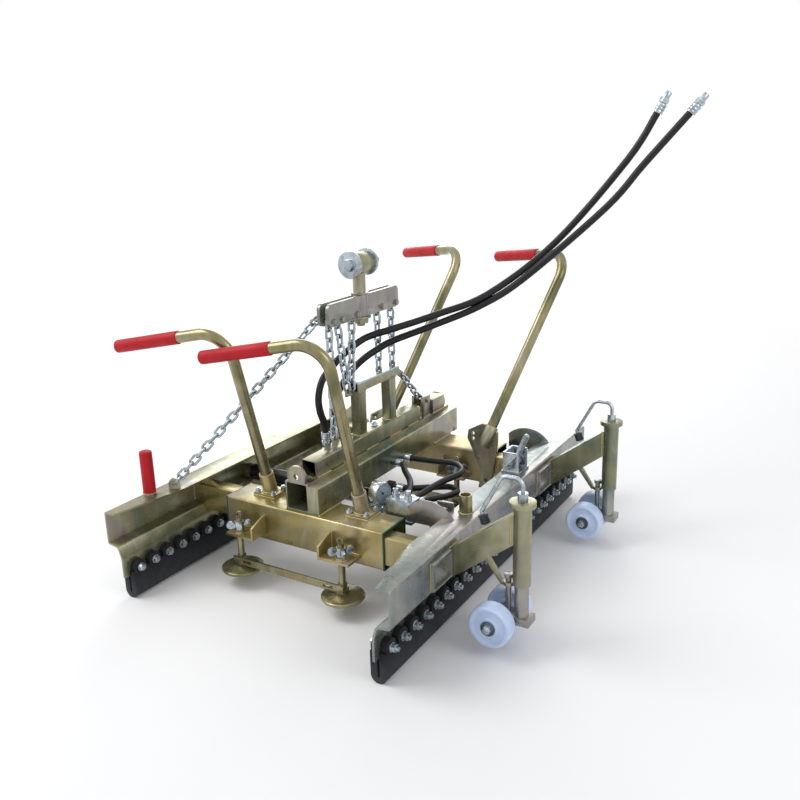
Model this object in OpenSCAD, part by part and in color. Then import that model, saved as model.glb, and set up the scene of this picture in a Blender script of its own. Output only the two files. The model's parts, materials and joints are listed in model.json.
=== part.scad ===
// Paving block laying clamp: two rubber-lipped jaws on telescoping crossbeams, hung by chains from a swivel.
// Millimetres. X is the clamping direction, Y runs along the jaws, and the rubber lips stand on Z = 0.

/* [Jaws] */
// length of each bent jaw sheet along Y
jaw_l = 1236; // [900:2:1500]
// distance from the middle to the outer face of each jaw web
jaw_x = 447; // [380:1:560]
// thickness of the jaw sheet
jaw_t = 5; // [4:0.5:8]
// height of the jaw's top flange above the floor
jaw_top = 251; // [220:1:300]
// height at which the web turns inward as a ledge
web_low = 157; // [140:1:180]
// width of the top flange in the middle of the jaw
flange_w = 78; // [60:1:110]
// width of the top flange at its tapered ends
flange_tip = 36; // [20:1:60]
// length of each tapered end of the flange
flange_taper = 225; // [100:5:350]

/* [Rubber lips] */
// distance from the middle to the gripping face
grip_x = 378; // [330:1:420]
// thickness of one leaf of the folded rubber
leaf_t = 18; // [12:1:24]
// thickness of the steel strip between the leaves
strip_t = 6; // [4:1:10]
// height of the bolt row
bolt_z = 87; // [70:1:105]
// distance between neighbouring bolts
bolt_p = 52.3; // [40:0.1:60]
// radius of the rubber lobe round each bolt
lobe_r = 21; // [16:1:24]
// bolt shank radius
bolt_r = 6; // [4:0.5:7]

/* [Crossbeams] */
// distance from the middle to each end of a crossbeam cover
beam_x = 257; // [220:1:290]
// place of the front crossbeam's front face along Y
beam_y = -345; // [-400:1:-300]
// distance from the front crossbeam to the rear one
beam_gap = 646; // [560:2:720]
// depth of a crossbeam cover along Y
beam_d = 110; // [100:1:140]
// height of a crossbeam cover
beam_h = 105; // [95:1:130]
// height of the cover's underside
beam_z = 125; // [110:1:140]
// wall of the cover
beam_t = 4; // [3:0.5:6]
// height of a telescoping tube
tube_h = 79; // [60:1:90]
// wall of a telescoping tube
tube_t = 4; // [3:0.5:6]
// length of a telescoping tube past the middle
tube_past = 195; // [150:5:200]
// running clearance beside each telescoping tube
tube_c = 0.5; // [0.3:0.1:1]

/* [Long beam] */
// width of the open tube of the long beam
long_w = 76; // [60:1:90]
// width of the closed channel beside it
long_c = 32; // [20:1:45]
// height of the long beam
long_h = 84; // [60:1:100]
// wall of the long beam
long_t = 5; // [4:0.5:8]
// place of its front end along Y
long_y0 = -335; // [-345:1:-300]
// place of its rear end along Y
long_y1 = 462; // [430:1:500]
// size of the square tube on top
top_w = 48; // [40:1:60]
// front end of the top tube along Y
top_y0 = -290; // [-320:1:-250]
// rear end of the top tube along Y
top_y1 = 275; // [240:1:290]

/* [Tower and spreader] */
// height of the two uprights above the top tube
tower_h = 130; // [90:1:160]
// middle of the front upright along Y
tower_y0 = -37; // [-60:1:-20]
// middle of the rear upright along Y
tower_y1 = 121; // [100:1:150]
// height of the spreader's underside
spread_z = 705; // [660:1:760]
// height of the spreader's plates
spread_h = 62; // [50:1:80]
// front end of the spreader along Y
spread_y0 = -195; // [-220:1:-180]
// rear end of the spreader along Y
spread_y1 = 162; // [150:1:190]
// thickness of each spreader plate
spread_t = 10; // [8:1:12]
// gap between the spreader plates
spread_gap = 18; // [14:1:24]
// place of the swivel along Y
swivel_y = -15; // [-30:1:0]
// radius of the swivel shank
swivel_r = 12; // [10:1:16]

/* [Chains] */
// wire diameter of a chain link
link_d = 7.5; // [6:0.5:8]
// inner length of a chain link
link_l = 28; // [26:1:32]
// inner width of a chain link
link_w = 11; // [10:0.5:13]

/* [Wheel columns] */
// distance of the columns from the middle
col_x = 625; // [590:1:660]
// place of the front column behind the crossbeam's front face
col_in = 20; // [15:1:25]
// radius of the outer column tube
col_r = 21.2; // [18:0.1:26]
// radius of the telescoping leg tube
leg_r = 17; // [14:0.1:20]
// underside of the outer column tube
col_z0 = 175; // [150:1:200]
// top of the outer column tube
col_z1 = 372; // [350:1:400]
// lower end of the leg tube
leg_z = 96; // [80:1:110]
// wheel radius
wheel_r = 52; // [40:1:65]
// wheel width
wheel_w = 42; // [30:1:55]
// height of the wheel axle
axle_z = 83; // [75:1:110]
// distance of the axle from the column along X
trail = 52; // [40:1:60]
// clear space between the two wheels of a pair
wheel_gap = 62; // [50:1:80]
// axle radius
axle_r = 8; // [6:0.5:10]

/* [Hold-down feet] */
// foot disc radius
foot_r = 58; // [45:1:70]
// height of the foot disc's underside
foot_z = 44; // [20:1:60]
// spindle radius
spindle_r = 9; // [7:0.5:12]
// distance of the spindles in front of the crossbeam
foot_out = 40; // [32:1:50]
// place of the left spindle
foot_x0 = -183; // [-200:1:-150]
// place of the right spindle
foot_x1 = 157; // [120:1:190]

/* [Handles] */
// outer radius of the handle tube
rod_r = 15.5; // [12:0.5:18]
// wall of the handle tube
rod_t = 2.5; // [2:0.5:4]
// bend radius of the handle tube
rod_bend = 75; // [50:1:100]
// angle through which the tube is bent
rod_turn = 98; // [80:1:110]
// reach of the grip end from the upright
rod_reach = 365; // [280:5:400]
// length of a handle grip
grip_l = 215; // [110:5:230]
// radius of a grip
grip_r = 18; // [16.5:0.5:22]
// length of a front handle from its socket to the bend's corner
rod_l0 = 505; // [400:5:600]
// length of a rear handle from its bracket to the bend's corner
rod_l1 = 590; // [450:5:650]
// place of the left front handle
hand_x0 = -160; // [-200:1:-120]
// place of the right front handle
hand_x1 = 150; // [120:1:200]
// lean of the front handles
hand_lean = 15; // [5:1:25]
// turn of the front handles about their uprights
hand_turn = 10; // [8:1:20]
// lean of the rear handles
rear_lean = 29; // [15:1:35]
// turn of the rear handles about the upright
rear_turn = 32; // [0:1:40]

/* [Hidden] */
$fn = 48;
eps = 0.01;
gold = [0.72, 0.64, 0.40];
zinc = [0.78, 0.79, 0.80];
black = [0.08, 0.08, 0.09];
red = [0.75, 0.10, 0.10];
white = [0.93, 0.93, 0.95];
green = [0.05, 0.30, 0.22];

rear_y = beam_y + beam_gap;
beam_top = beam_z + beam_h;
mid_z = beam_z + beam_h / 2;
cav_y = beam_d - 2 * beam_t;
tube_w = (cav_y - 3 * tube_c) / 2;
front_slot = beam_y + beam_t + tube_c;
back_slot = front_slot + tube_w + tube_c;
grip_out = grip_x + 2 * leaf_t + strip_t;
strip_x = grip_x + leaf_t;
ledge_x = strip_x + strip_t + 8;
bolt_n = floor((jaw_l - 80) / bolt_p) + 1;
bolt_y0 = -(bolt_n - 1) / 2 * bolt_p;
rubber_y = -bolt_y0 + lobe_r + 4;
leaf_top = bolt_z - 7;
long_x0 = -(long_w + long_c) / 2 + 2;
long_top = beam_top + long_h;
top_x0 = -top_w / 2 - 3;
top_top = long_top + top_w;
tower_top = top_top + tower_h;
bar_h = 28;
col_y = beam_y + col_in;
leg_c = 0.1;
hand_y = beam_y + 76;
foot_top = 197;
rear_foot = [258, rear_y - 1, 313];
rear_foot2 = [-106, rear_y - 1, 313];
apex_cut = rod_bend * tan(rod_turn / 2);
rod_drop = rod_reach - apex_cut;
link_s = link_l - 0.3;
plate_x = spread_gap / 2 + spread_t;
pin_r = 5;
ring_r = 15;
ring_d = 8.5;
eye_z = spread_z + 148;
eye_pin = 12;
shelf_z = beam_z + 21;
cap_r = 31;
arm_z = 280;
arm_d = 45;
rod_out = 33;
crank_h = 52;
crank_r = 5;
crank_run = 20;
crank_turn = 62;
crank_arm = 98;
crank_bend = [-18 - crank_run - 20 * sin(crank_turn), 0, crank_h - 20 + 20 * cos(crank_turn)];
crank_end = crank_bend + crank_arm * [-cos(crank_turn), 0, -sin(crank_turn)];
cyl_y = -60;
cyl_z = 178;
cyl_pin = jaw_x - jaw_t - 22;
plate_z = beam_top - 20;
gauge_at = [159, beam_y + beam_d + 36, beam_top + 37];
gauge_turn = 80;
latch = [400, 155, jaw_top + 24];
feed_x = -40;
feed_y0 = -157;
feed_y1 = -115;
feed_r = 10;
hose_r = 9;
feed_a = [
  [feed_x, feed_y0, 396], [-40.2, -158.9, 420], [-42, -174, 460], [-42, -178, 502], [-42, -157, 545],
  [-38, -117, 573], [-27, -70, 602], [0, -18, 634], [27, 12, 648], [60, 40, 658], [165, 139, 694],
  [280, 229, 744], [430, 356, 880], [595, 465, 1102], [660, 500, 1223]
];
feed_b = [
  [feed_x, feed_y1, 396], [-40, -113.7, 432], [-40, -103, 475], [-36, -72, 511], [-27, -35, 545],
  [0, -4, 579], [27, 36, 603], [60, 66, 623], [160, 141, 664], [262, 213, 711], [365, 281, 784],
  [557, 404, 974], [645, 452, 1090], [748, 498, 1219]
];
bundle = [
  [[209, -161, 240], [207, -128, 243], [175, -60, 250], [128, -8, 256], [92, 37, 256], [70, 40, 256]],
  [
    [233, -161, 240], [235, -120, 242], [254, -20, 250], [278, 55, 256], [232, 108, 256],
    [150, 98, 256], [92, 91, 256], [70, 90, 256]
  ],
  [
    [257, -161, 240], [262, -120, 236], [288, -60, 228], [296, -8, 224], [262, 14, 224],
    [215, -18, 225], [175, -48, 226], [148, -59, 226], [134, -60, 226]
  ]
];

pin_ys = [spread_y0 + 24, spread_y0 + 62, swivel_y - 45, swivel_y + 85, spread_y1 - 16];
pin_z = spread_z + 13;
// chain ends: below the front pin, in front of the roof bar, above it and behind it
lug_front = [0, pin_ys[0], pin_z - link_l - link_d / 2 - 11 * link_s + pin_r - 0.25];
lug_tower = [[0, tower_y0 - 59, tower_top + 9], [0, tower_y0 - 39, tower_top + 6]];
bar_eye = tower_top + bar_h + 9;
clevis_pin = [0, long_y1 - 145, long_top + 54];
lug_step = link_l + link_d / 2 + 0.25 - pin_r + 5 * link_s;
lug_end = clevis_pin + lug_step * [0, -0.725, 0.689];
// the long chain to the left jaw
left_n = 21;
left_len = 4 * ring_r - ring_d - 0.3 + link_l + (left_n - 1) * link_s;
left_pin = [-plate_x - 14, pin_ys[0], pin_z];
left_to = [-jaw_x + 53, beam_y - 64, jaw_top + 15];
left_w = [0, pin_ys[0] - left_to[1], pin_z - left_to[2]];
left_a = left_pin + (pin_r + ring_d / 2 + 0.3) * left_w / norm(left_w);
left_dir = (left_to - left_a) / norm(left_to - left_a);
left_b = left_a + left_len * left_dir;
left_az = atan2(left_dir[1], left_dir[0]);
left_turn = atan2(left_dir[0] * -left_dir[2] / norm([left_dir[0], left_dir[1]]), -sin(left_az));
left_twist = -(left_turn + 90) / (left_n - 1);
// outline of the clamp seen from above, without its free hoses
tip_l = rod_drop - 3;
tip_x = rod_bend * (1 - cos(rod_turn)) + tip_l * sin(rod_turn);
tip_z = rod_l1 - apex_cut + rod_bend * sin(rod_turn) + tip_l * cos(rod_turn);
tip_dy = sin(rod_turn) * sin(rear_turn) + cos(rod_turn) * sin(rear_lean) * cos(rear_turn);
x_hi = col_x + cap_r;
tip_dx = sin(rod_turn) * cos(hand_turn);
x_lo = hand_x0 - tip_x * cos(hand_turn) - 3 * tip_dx - (grip_r - 2) * sqrt(1 - tip_dx ^ 2);
y_hi = rear_y - 1 + tip_x * sin(rear_turn) + tip_z * sin(rear_lean) * cos(rear_turn)
  + grip_r * sqrt(1 - tip_dy ^ 2);
y_lo = -jaw_l / 2;
mid_x = (x_hi + x_lo) / 2;
mid_y = (y_hi + y_lo) / 2;

// moves everything so that the middle of the whole outline is the origin
module placed() {
  translate([-mid_x, -mid_y, 0]) children();
}

// point on a smooth curve between two route points
function spot(p, i, s) = let(a = p[max(i - 1, 0)], b = p[i], c = p[i + 1], d = p[min(i + 2, len(p) - 1)])
  0.5 * (2 * b + (c - a) * s + (2 * a - 5 * b + 4 * c - d) * s * s + (3 * b - a - 3 * c + d) * s * s * s);

function smooth_route(p, m) = concat(
  [for (i = [0 : len(p) - 2]) for (j = [0 : m - 1]) spot(p, i, j / m)],
  [p[len(p) - 1]]
);

// round hose along a route, with one ring of corners at every point of it
module hose(route, r, side) {
  n = len(route);
  k = 10;
  pts = [
    for (i = [0 : n - 1])
      let(d = route[min(i + 1, n - 1)] - route[max(i - 1, 0)], t = d / norm(d))
        let(u = cross(side, t) / norm(cross(side, t)), v = cross(t, u))
          for (j = [0 : k - 1]) route[i] + r * (cos(360 * j / k) * u + sin(360 * j / k) * v)
  ];
  skin = [
    for (i = [0 : n - 2]) for (j = [0 : k - 1])
      let(a = i * k + j, b = i * k + (j + 1) % k)
        each [[a, a + k, b + k], [a, b + k, b]]
  ];
  polyhedron(
    points = pts,
    faces = concat([[for (j = [0 : k - 1]) j]], skin, [[for (j = [0 : k - 1]) n * k - 1 - j]])
  );
}

// the same feature on the front and on the rear crossbeam
module both_beams() {
  for (dy = [0, beam_gap]) {
    translate([0, dy, 0]) children();
  }
}

// a shape for the right side, mirrored to the left one
module left_side() {
  mirror([1, 0, 0]) children();
}

// lays a profile drawn as X and Z along Y between two places
module along_y(y0, y1) {
  translate([0, y1, 0]) rotate([90, 0, 0]) linear_extrude(height = y1 - y0) children();
}

// lays a profile drawn as Y and Z along X between two places
module along_x(x0, x1) {
  translate([x0, 0, 0]) rotate([90, 0, 90]) linear_extrude(height = x1 - x0) children();
}

module box(x0, x1, y0, y1, z0, z1) {
  translate([x0, y0, z0]) cube([x1 - x0, y1 - y0, z1 - z0]);
}

module tube_y(x0, w, y0, y1, z0, h, t) {
  difference() {
    box(x0, x0 + w, y0, y1, z0, z0 + h);
    box(x0 + t, x0 + w - t, y0 - 1, y1 + 1, z0 + t, z0 + h - t);
  }
}

module tube_x(x0, x1, y0, w, z0, h, t) {
  difference() {
    box(x0, x1, y0, y0 + w, z0, z0 + h);
    box(x0 - 1, x1 + 1, y0 + t, y0 + w - t, z0 + t, z0 + h - t);
  }
}

// bent sheet of one jaw, drawn for the right side
module jaw_sheet() {
  difference() {
    along_y(-jaw_l / 2, jaw_l / 2) polygon([
      [jaw_x - flange_w, jaw_top - jaw_t],
      [jaw_x - jaw_t, jaw_top - jaw_t],
      [jaw_x - jaw_t, web_low + jaw_t],
      [ledge_x - 3, web_low + jaw_t - 5],
      [strip_x, bolt_z + lobe_r + 14],
      [strip_x, bolt_z - lobe_r],
      [strip_x + strip_t, bolt_z - lobe_r],
      [strip_x + strip_t, bolt_z + lobe_r + 14],
      [ledge_x + 1, web_low - 5],
      [jaw_x, web_low],
      [jaw_x, jaw_top],
      [jaw_x - flange_w, jaw_top]
    ]);
    for (s = [-1, 1]) {
      translate([0, 0, jaw_top - jaw_t - 1]) linear_extrude(height = jaw_t + 2) polygon([
        [jaw_x - flange_w - 1, s * (jaw_l / 2 - flange_taper)],
        [jaw_x - flange_tip, s * (jaw_l / 2 + 0.1)],
        [jaw_x - flange_tip, s * (jaw_l / 2 + 2)],
        [jaw_x - flange_w - 1, s * (jaw_l / 2 + 2)]
      ]);
    }
    bolt_places() rotate([0, 90, 0]) translate([0, 0, -30]) cylinder(h = 60, r = bolt_r + 0.3);
  }
}

// curved rib behind a slide tube, drawn as X and Z
module jaw_rib() {
  x = jaw_x - 117;
  intersection() {
    translate([x, 200]) circle(r = 89);
    translate([x - 62, beam_top - 9]) square([150, 80]);
  }
  polygon([
    [x, beam_top - 9], [jaw_x - jaw_t, web_low + 10], [jaw_x - jaw_t, jaw_top - 1],
    [x + 70, jaw_top - 1], [x + 70, beam_top - 9]
  ]);
}

module bolt_places() {
  for (i = [0 : bolt_n - 1]) {
    translate([strip_x + strip_t / 2, bolt_y0 + i * bolt_p, bolt_z]) children();
  }
}

// outline of a rubber leaf with its lobes, drawn as Y and Z
module leaf_outline() {
  translate([-rubber_y, leaf_t + strip_t / 2]) square([2 * rubber_y, leaf_top - leaf_t - strip_t / 2]);
  for (i = [0 : bolt_n - 1]) {
    translate([bolt_y0 + i * bolt_p, bolt_z]) circle(r = lobe_r);
  }
}

// folded rubber lip of one jaw, drawn for the right side
module rubber_lip() {
  fold_r = leaf_t + strip_t / 2;
  difference() {
    union() {
      along_x(grip_x, strip_x) leaf_outline();
      along_x(strip_x + strip_t, grip_out) leaf_outline();
      along_y(-rubber_y, rubber_y) intersection() {
        translate([grip_x + fold_r, fold_r]) circle(r = fold_r);
        translate([grip_x - 1, -1]) square([2 * fold_r + 2, fold_r + 1]);
      }
    }
    along_y(-rubber_y - 1, rubber_y + 1) translate([strip_x, fold_r - 4]) square([strip_t, 10]);
    bolt_places() rotate([0, 90, 0]) translate([0, 0, -40]) cylinder(h = 80, r = bolt_r + 0.3);
  }
}

// one jaw bolt with its washers and nut, head on the gripping side
module jaw_bolt() {
  reach = leaf_t + strip_t / 2;
  rotate([0, 90, 0]) {
    translate([0, 0, -reach - 2.5]) cylinder(h = 2.5, r = 2 * bolt_r);
    translate([0, 0, -reach - 10]) cylinder(h = 7.5, r = 1.73 * bolt_r, $fn = 6);
    translate([0, 0, -reach - 2.5]) cylinder(h = 2 * reach + 22, r = bolt_r);
    translate([0, 0, reach]) cylinder(h = 2.5, r = 2 * bolt_r);
    translate([0, 0, reach + 2.5]) cylinder(h = 10, r = 1.73 * bolt_r, $fn = 6);
  }
}

// telescoping tube with its curved gusset, drawn for the right side in the front half of a cover
module arm_tube(y0) {
  x1 = jaw_x - jaw_t;
  z0 = mid_z - tube_h / 2;
  difference() {
    tube_x(-tube_past, x1, y0, tube_w, z0, tube_h, tube_t);
    along_y(y0 - 1, y0 + tube_w + 1) polygon([
      [jaw_x, web_low + jaw_t + 0.3], [x1, web_low + jaw_t + 0.3], [ledge_x - 3.3, web_low + 0.3],
      [strip_x - 0.3, bolt_z + lobe_r + 14], [jaw_x, bolt_z + lobe_r + 14]
    ]);
  }
  intersection() {
    box(x1 - 100, x1, y0 + 8, y0 + 18, z0 + tube_h, jaw_top - jaw_t);
    difference() {
      box(x1 - 110, x1, y0, y0 + 30, z0 + tube_h, jaw_top);
      translate([x1 - 100, y0 - 1, z0 + tube_h + 62]) rotate([-90, 0, 0]) cylinder(h = 32, r = 62);
    }
  }
}

// one cover of folded plate with reinforced ends
module crossbeams() {
  placed() color(gold) both_beams() {
    tube_x(-beam_x, beam_x, beam_y, beam_d, beam_z, beam_h, beam_t);
  }
}

module slide_liners() {
  gap = (beam_h - 2 * beam_t - tube_h) / 2;
  placed() color(green) both_beams() {
    for (x = [-beam_x + 2, beam_x - 62]) {
      for (z = [beam_z + beam_t, beam_top - beam_t - gap + 0.3]) {
        box(x, x + 60, beam_y + beam_t, beam_y + beam_d - beam_t, z, z + gap - 0.3);
      }
    }
    for (x = [-beam_x - 4, beam_x]) {
      tube_x(x, x + 4, beam_y, beam_d, beam_z, beam_h, beam_t - 0.4);
    }
  }
}

module long_beam() {
  placed() color(gold) {
    tube_y(long_x0, long_w, long_y0, long_y1, beam_top, long_h, long_t);
    difference() {
      tube_y(long_x0 + long_w, long_c, long_y0, long_y1, beam_top, long_h - 6, long_t);
      translate([long_x0 + long_w - 1, long_y1 - 24, beam_top - 1])
        rotate([45, 0, 0]) cube([long_c + 2, 12, 12]);
    }
    box(long_x0 + long_w, long_x0 + long_w + long_c, long_y0, long_y0 + 6, beam_top, long_top - 6);
    translate([long_x0 + long_w / 2, 0, 0]) {
      eye_plate(long_y0, 30, 8);
      eye_plate(long_y1 - 22, 32, 14);
    }
  }
}

module top_tube() {
  placed() color(gold) {
    tube_y(top_x0, top_w, top_y0, top_y1, long_top, top_w, 4);
    translate([0, pin_ys[0], top_top]) chain_lug(lug_front[2] - top_top);
  }
}

module eye_plate(y, r, hole) {
  translate([0, y, 0]) difference() {
    union() {
      translate([0, 0, long_top + 14]) rotate([-90, 0, 0]) cylinder(h = 10, r = r);
      box(-r + 6, r - 6, 0, 10, long_top, long_top + 14);
    }
    translate([0, -1, long_top + 14]) rotate([-90, 0, 0]) cylinder(h = 12, r = hole);
    box(-r - 1, r + 1, -1, 11, long_top - r, long_top);
  }
}

module tower() {
  placed() color(gold) {
    for (y = [tower_y0 - 7, tower_y1]) {
      difference() {
        box(-15, 15, y - 18, y + 18, top_top, tower_top);
        box(-12, 12, y - 15, y + 15, top_top - 1, tower_top - 3);
      }
    }
    tube_y(-15, 30, tower_y0 - 29, tower_y1 + 41, tower_top, bar_h, 3);
    for (y = [pin_ys[3], pin_ys[4]]) {
      translate([0, y, tower_top + bar_h]) rotate([0, 0, 90]) chain_lug(bar_eye - tower_top - bar_h);
    }
    difference() {
      box(-3, 3, lug_tower[0][1] - 10, tower_y0 - 25, lug_tower[0][2] - 12, lug_tower[0][2] + 10);
      for (p = lug_tower) {
        translate([-4, p[1], p[2]]) rotate([0, 90, 0]) cylinder(h = 8, r = 5);
      }
    }
    difference() {
      union() {
        along_x(-3, 3) polygon([
          [tower_y1 + 39, tower_top + 2], [tower_y1 + 39, tower_top + 26],
          [lug_end[1] + 7, lug_end[2] + 7], [lug_end[1] - 7, lug_end[2] - 7]
        ]);
        translate([-3, lug_end[1], lug_end[2]]) rotate([0, 90, 0]) cylinder(h = 6, r = 10);
      }
      translate([-4, lug_end[1], lug_end[2]]) rotate([0, 90, 0]) cylinder(h = 8, r = 5);
    }
  }
}

// lug with a hole for the last link of a chain, its plate across X
module chain_lug(h) {
  difference() {
    union() {
      translate([-3, 0, h]) rotate([0, 90, 0]) cylinder(h = 6, r = 10);
      box(-3, 3, -10, 10, 0, h);
    }
    translate([-4, 0, h]) rotate([0, 90, 0]) cylinder(h = 8, r = 5);
  }
}

module rear_clevis() {
  placed() color(gold) {
    for (x = [-22, 14]) {
      box(x, x + 8, clevis_pin[1] - 22, clevis_pin[1] + 22, long_top, clevis_pin[2] + 14);
    }
    box(-22, 26, clevis_pin[1] + 34, clevis_pin[1] + 110, long_top, long_top + 46);
    translate([-30, clevis_pin[1], clevis_pin[2]]) rotate([0, 90, 0]) cylinder(h = 60, r = pin_r);
    for (x = [-30, 22]) {
      translate([x, clevis_pin[1], clevis_pin[2]]) rotate([0, 90, 0]) cylinder(h = 8, r = 9, $fn = 6);
    }
  }
}

module left_jaw() {
  placed() color(gold) {
    left_side() jaw_sheet();
    left_side() cylinder_lug();
    translate([left_b[0], left_b[1], jaw_top]) rotate([0, 0, left_az]) difference() {
      union() {
        translate([-16, -4, 0]) cube([32, 8, left_b[2] - jaw_top]);
        translate([0, 4, left_b[2] - jaw_top]) rotate([90, 0, 0]) cylinder(h = 8, r = 16);
      }
      translate([0, 5, left_b[2] - jaw_top]) rotate([90, 0, 0]) cylinder(h = 10, r = 5.1);
    }
  }
}

module right_jaw() {
  placed() color(gold) {
    jaw_sheet();
    cylinder_lug();
    both_beams() difference() {
      box(jaw_x, jaw_x + 10, beam_y - 96, beam_y - 1, web_low + 8, web_low + 78);
      box(jaw_x - 1, jaw_x + 11, beam_y - 91, beam_y - 6, web_low + 13, web_low + 73);
    }
    both_beams() along_y(beam_y + beam_d + 0.6, beam_y + beam_d + 4.6) jaw_rib();
    difference() {
      along_y(-173, -167) polygon([
        [jaw_x - 125, beam_top - 6], [jaw_x - jaw_t, web_low + 20], [jaw_x - jaw_t, jaw_top - 1],
        [jaw_x - flange_w, jaw_top - 1], [jaw_x - flange_w, jaw_top + 16], [jaw_x - 125, jaw_top + 14]
      ]);
      translate([jaw_x - 103, -174, jaw_top - 3]) rotate([-90, 0, 0]) cylinder(h = 8, r = 8);
    }
  }
}

module left_rubber() {
  placed() color(black) left_side() rubber_lip();
}

module right_rubber() {
  placed() color(black) rubber_lip();
}

module left_bolts() {
  placed() color(zinc) left_side() bolt_places() jaw_bolt();
}

module right_bolts() {
  placed() color(zinc) bolt_places() jaw_bolt();
}

module left_tubes() {
  placed() color(gold) both_beams() left_side() arm_tube(back_slot);
}

module right_tubes() {
  placed() color(gold) both_beams() arm_tube(front_slot);
}

module lock_bolt() {
  placed() color(zinc) both_beams() {
    translate([-beam_x + 24, beam_y + beam_d, mid_z]) rotate([-90, 0, 0]) {
      cylinder(h = 9, r = 14, $fn = 6);
      translate([0, 0, 9]) cylinder(h = 14, r = 6);
      translate([0, 0, 23]) cylinder(h = 8, r = 10, $fn = 6);
    }
  }
}

module side_post() {
  placed() color(zinc) translate([-jaw_x + 20, -472, jaw_top]) {
    cylinder(h = 6, r = 17);
    cylinder(h = 118, r = 12);
  }
}

module side_grip() {
  placed() color(red) translate([-jaw_x + 20, -472, jaw_top + 6]) difference() {
    union() {
      cylinder(h = 119, r = grip_r);
      translate([0, 0, 119]) cylinder(h = 3, r = grip_r - 2);
    }
    translate([0, 0, -1]) cylinder(h = 113.3, r = 12.2);
  }
}

// stadium outline of a spreader plate, drawn as Y and Z
module spread_outline() {
  r = 16;
  difference() {
    union() {
      translate([spread_y0 + r, spread_z]) square([spread_y1 - spread_y0 - 2 * r, spread_h]);
      translate([spread_y0, spread_z + r]) square([spread_y1 - spread_y0, spread_h - 2 * r]);
      for (y = [spread_y0 + r, spread_y1 - r]) {
        for (z = [spread_z + r, spread_z + spread_h - r]) {
          translate([y, z]) circle(r = r);
        }
      }
    }
  }
}

module spreader() {
  placed() color(gold) {
    difference() {
      union() {
        for (x = [-plate_x, spread_gap / 2]) {
          along_x(x, x + spread_t) spread_outline();
        }
        box(-spread_gap / 2, spread_gap / 2, swivel_y - 26, swivel_y + 26, spread_z, spread_z + spread_h);
        translate([0, swivel_y, spread_z]) cylinder(h = spread_h, r = 24);
      }
      translate([0, swivel_y, spread_z - 1]) cylinder(h = spread_h + 2, r = swivel_r + 0.05);
    }
    for (y = pin_ys) {
      translate([-plate_x - 7, y, pin_z]) rotate([0, 90, 0]) cylinder(h = 2 * plate_x + 14, r = pin_r);
      translate([plate_x, y, pin_z]) rotate([0, 90, 0]) cylinder(h = 7, r = 9, $fn = 6);
    }
    for (i = [1 : len(pin_ys) - 1]) {
      translate([-plate_x - 7, pin_ys[i], pin_z]) rotate([0, 90, 0]) cylinder(h = 7, r = 9, $fn = 6);
    }
    translate([-plate_x - 24, pin_ys[0], pin_z]) rotate([0, 90, 0]) cylinder(h = 24, r = pin_r);
  }
}

// one chain link round the origin, long along Z and wide along X
module chain_link() {
  r = (link_w + link_d) / 2;
  h = (link_l - link_w) / 2;
  for (a = [0, 180]) {
    rotate([0, a, 0]) {
      translate([r, 0, -h]) cylinder(h = 2 * h, r = link_d / 2);
      translate([0, 0, h]) rotate([90, 0, 0])
        rotate_extrude(angle = 180) translate([r, 0]) circle(r = link_d / 2);
    }
  }
}

// turns Z to the direction from one point to another and starts there
module aim(a, b) {
  d = b - a;
  translate(a) rotate([0, acos(d[2] / norm(d)), atan2(d[1], d[0])]) children();
}

// straight taut chain of n links between the pins at a and b, first link turned by t
module straight_chain(a, b, n, t, eye) {
  first = link_l / 2 - pin_r - 0.3;
  last = eye ? link_l / 2 + link_d / 2 + 0.55 : first;
  pitch = (norm(b - a) - first - last) / (n - 1);
  aim(a, b) {
    for (i = [0 : n - 1]) {
      translate([0, 0, first + i * pitch]) rotate([0, 0, t + 90 * (i % 2)]) chain_link();
    }
  }
}

module left_chain() {
  placed() color(zinc) {
    aim(left_a, left_b) rotate([0, 0, left_turn]) end_ring();
    aim(left_b, left_a) rotate([0, 0, 90]) end_ring();
    aim(left_a, left_b) for (i = [0 : left_n - 1]) {
      translate([0, 0, 2 * ring_r - ring_d / 2 - 0.15 + link_l / 2 + i * link_s])
        rotate([0, 0, left_turn + 90 + i * (90 + left_twist)]) chain_link();
    }
  }
}

module front_chains() {
  placed() color(zinc) {
    straight_chain([0, pin_ys[0], pin_z], lug_front, 12, 90, true);
    straight_chain([0, pin_ys[1], pin_z], lug_tower[0], 8, 0, true);
    straight_chain([0, pin_ys[2], pin_z], lug_tower[1], 8, 0, true);
  }
}

module rear_chains() {
  placed() color(zinc) {
    for (y = [pin_ys[3], pin_ys[4]]) {
      straight_chain([0, y, pin_z], [0, y, bar_eye], 7, 90, true);
    }
    straight_chain(clevis_pin, lug_end, 6, 0, true);
  }
}

module foot_brackets() {
  places = [[foot_x0, beam_y, 0], [foot_x1, beam_y, 1], [foot_x0, rear_y, 1], [foot_x1, rear_y, 1]];
  placed() color(gold) {
    for (p = places) {
      translate([p[0], p[1], 0]) mirror([p[2], 0, 0]) {
        difference() {
          union() {
            box(-34, 62, -foot_out - 20, 0, shelf_z, shelf_z + 7);
            translate([0, -foot_out, shelf_z]) cylinder(h = 14, r = spindle_r + 7);
          }
          translate([0, -foot_out, shelf_z - 1]) cylinder(h = 20, r = spindle_r + 0.5);
        }
        along_x(56, 62) polygon([
          [0, shelf_z], [0, shelf_z + 54], [-12, shelf_z + 54],
          [-foot_out - 20, shelf_z + 36], [-foot_out - 20, shelf_z]
        ]);
      }
    }
  }
}

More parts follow.
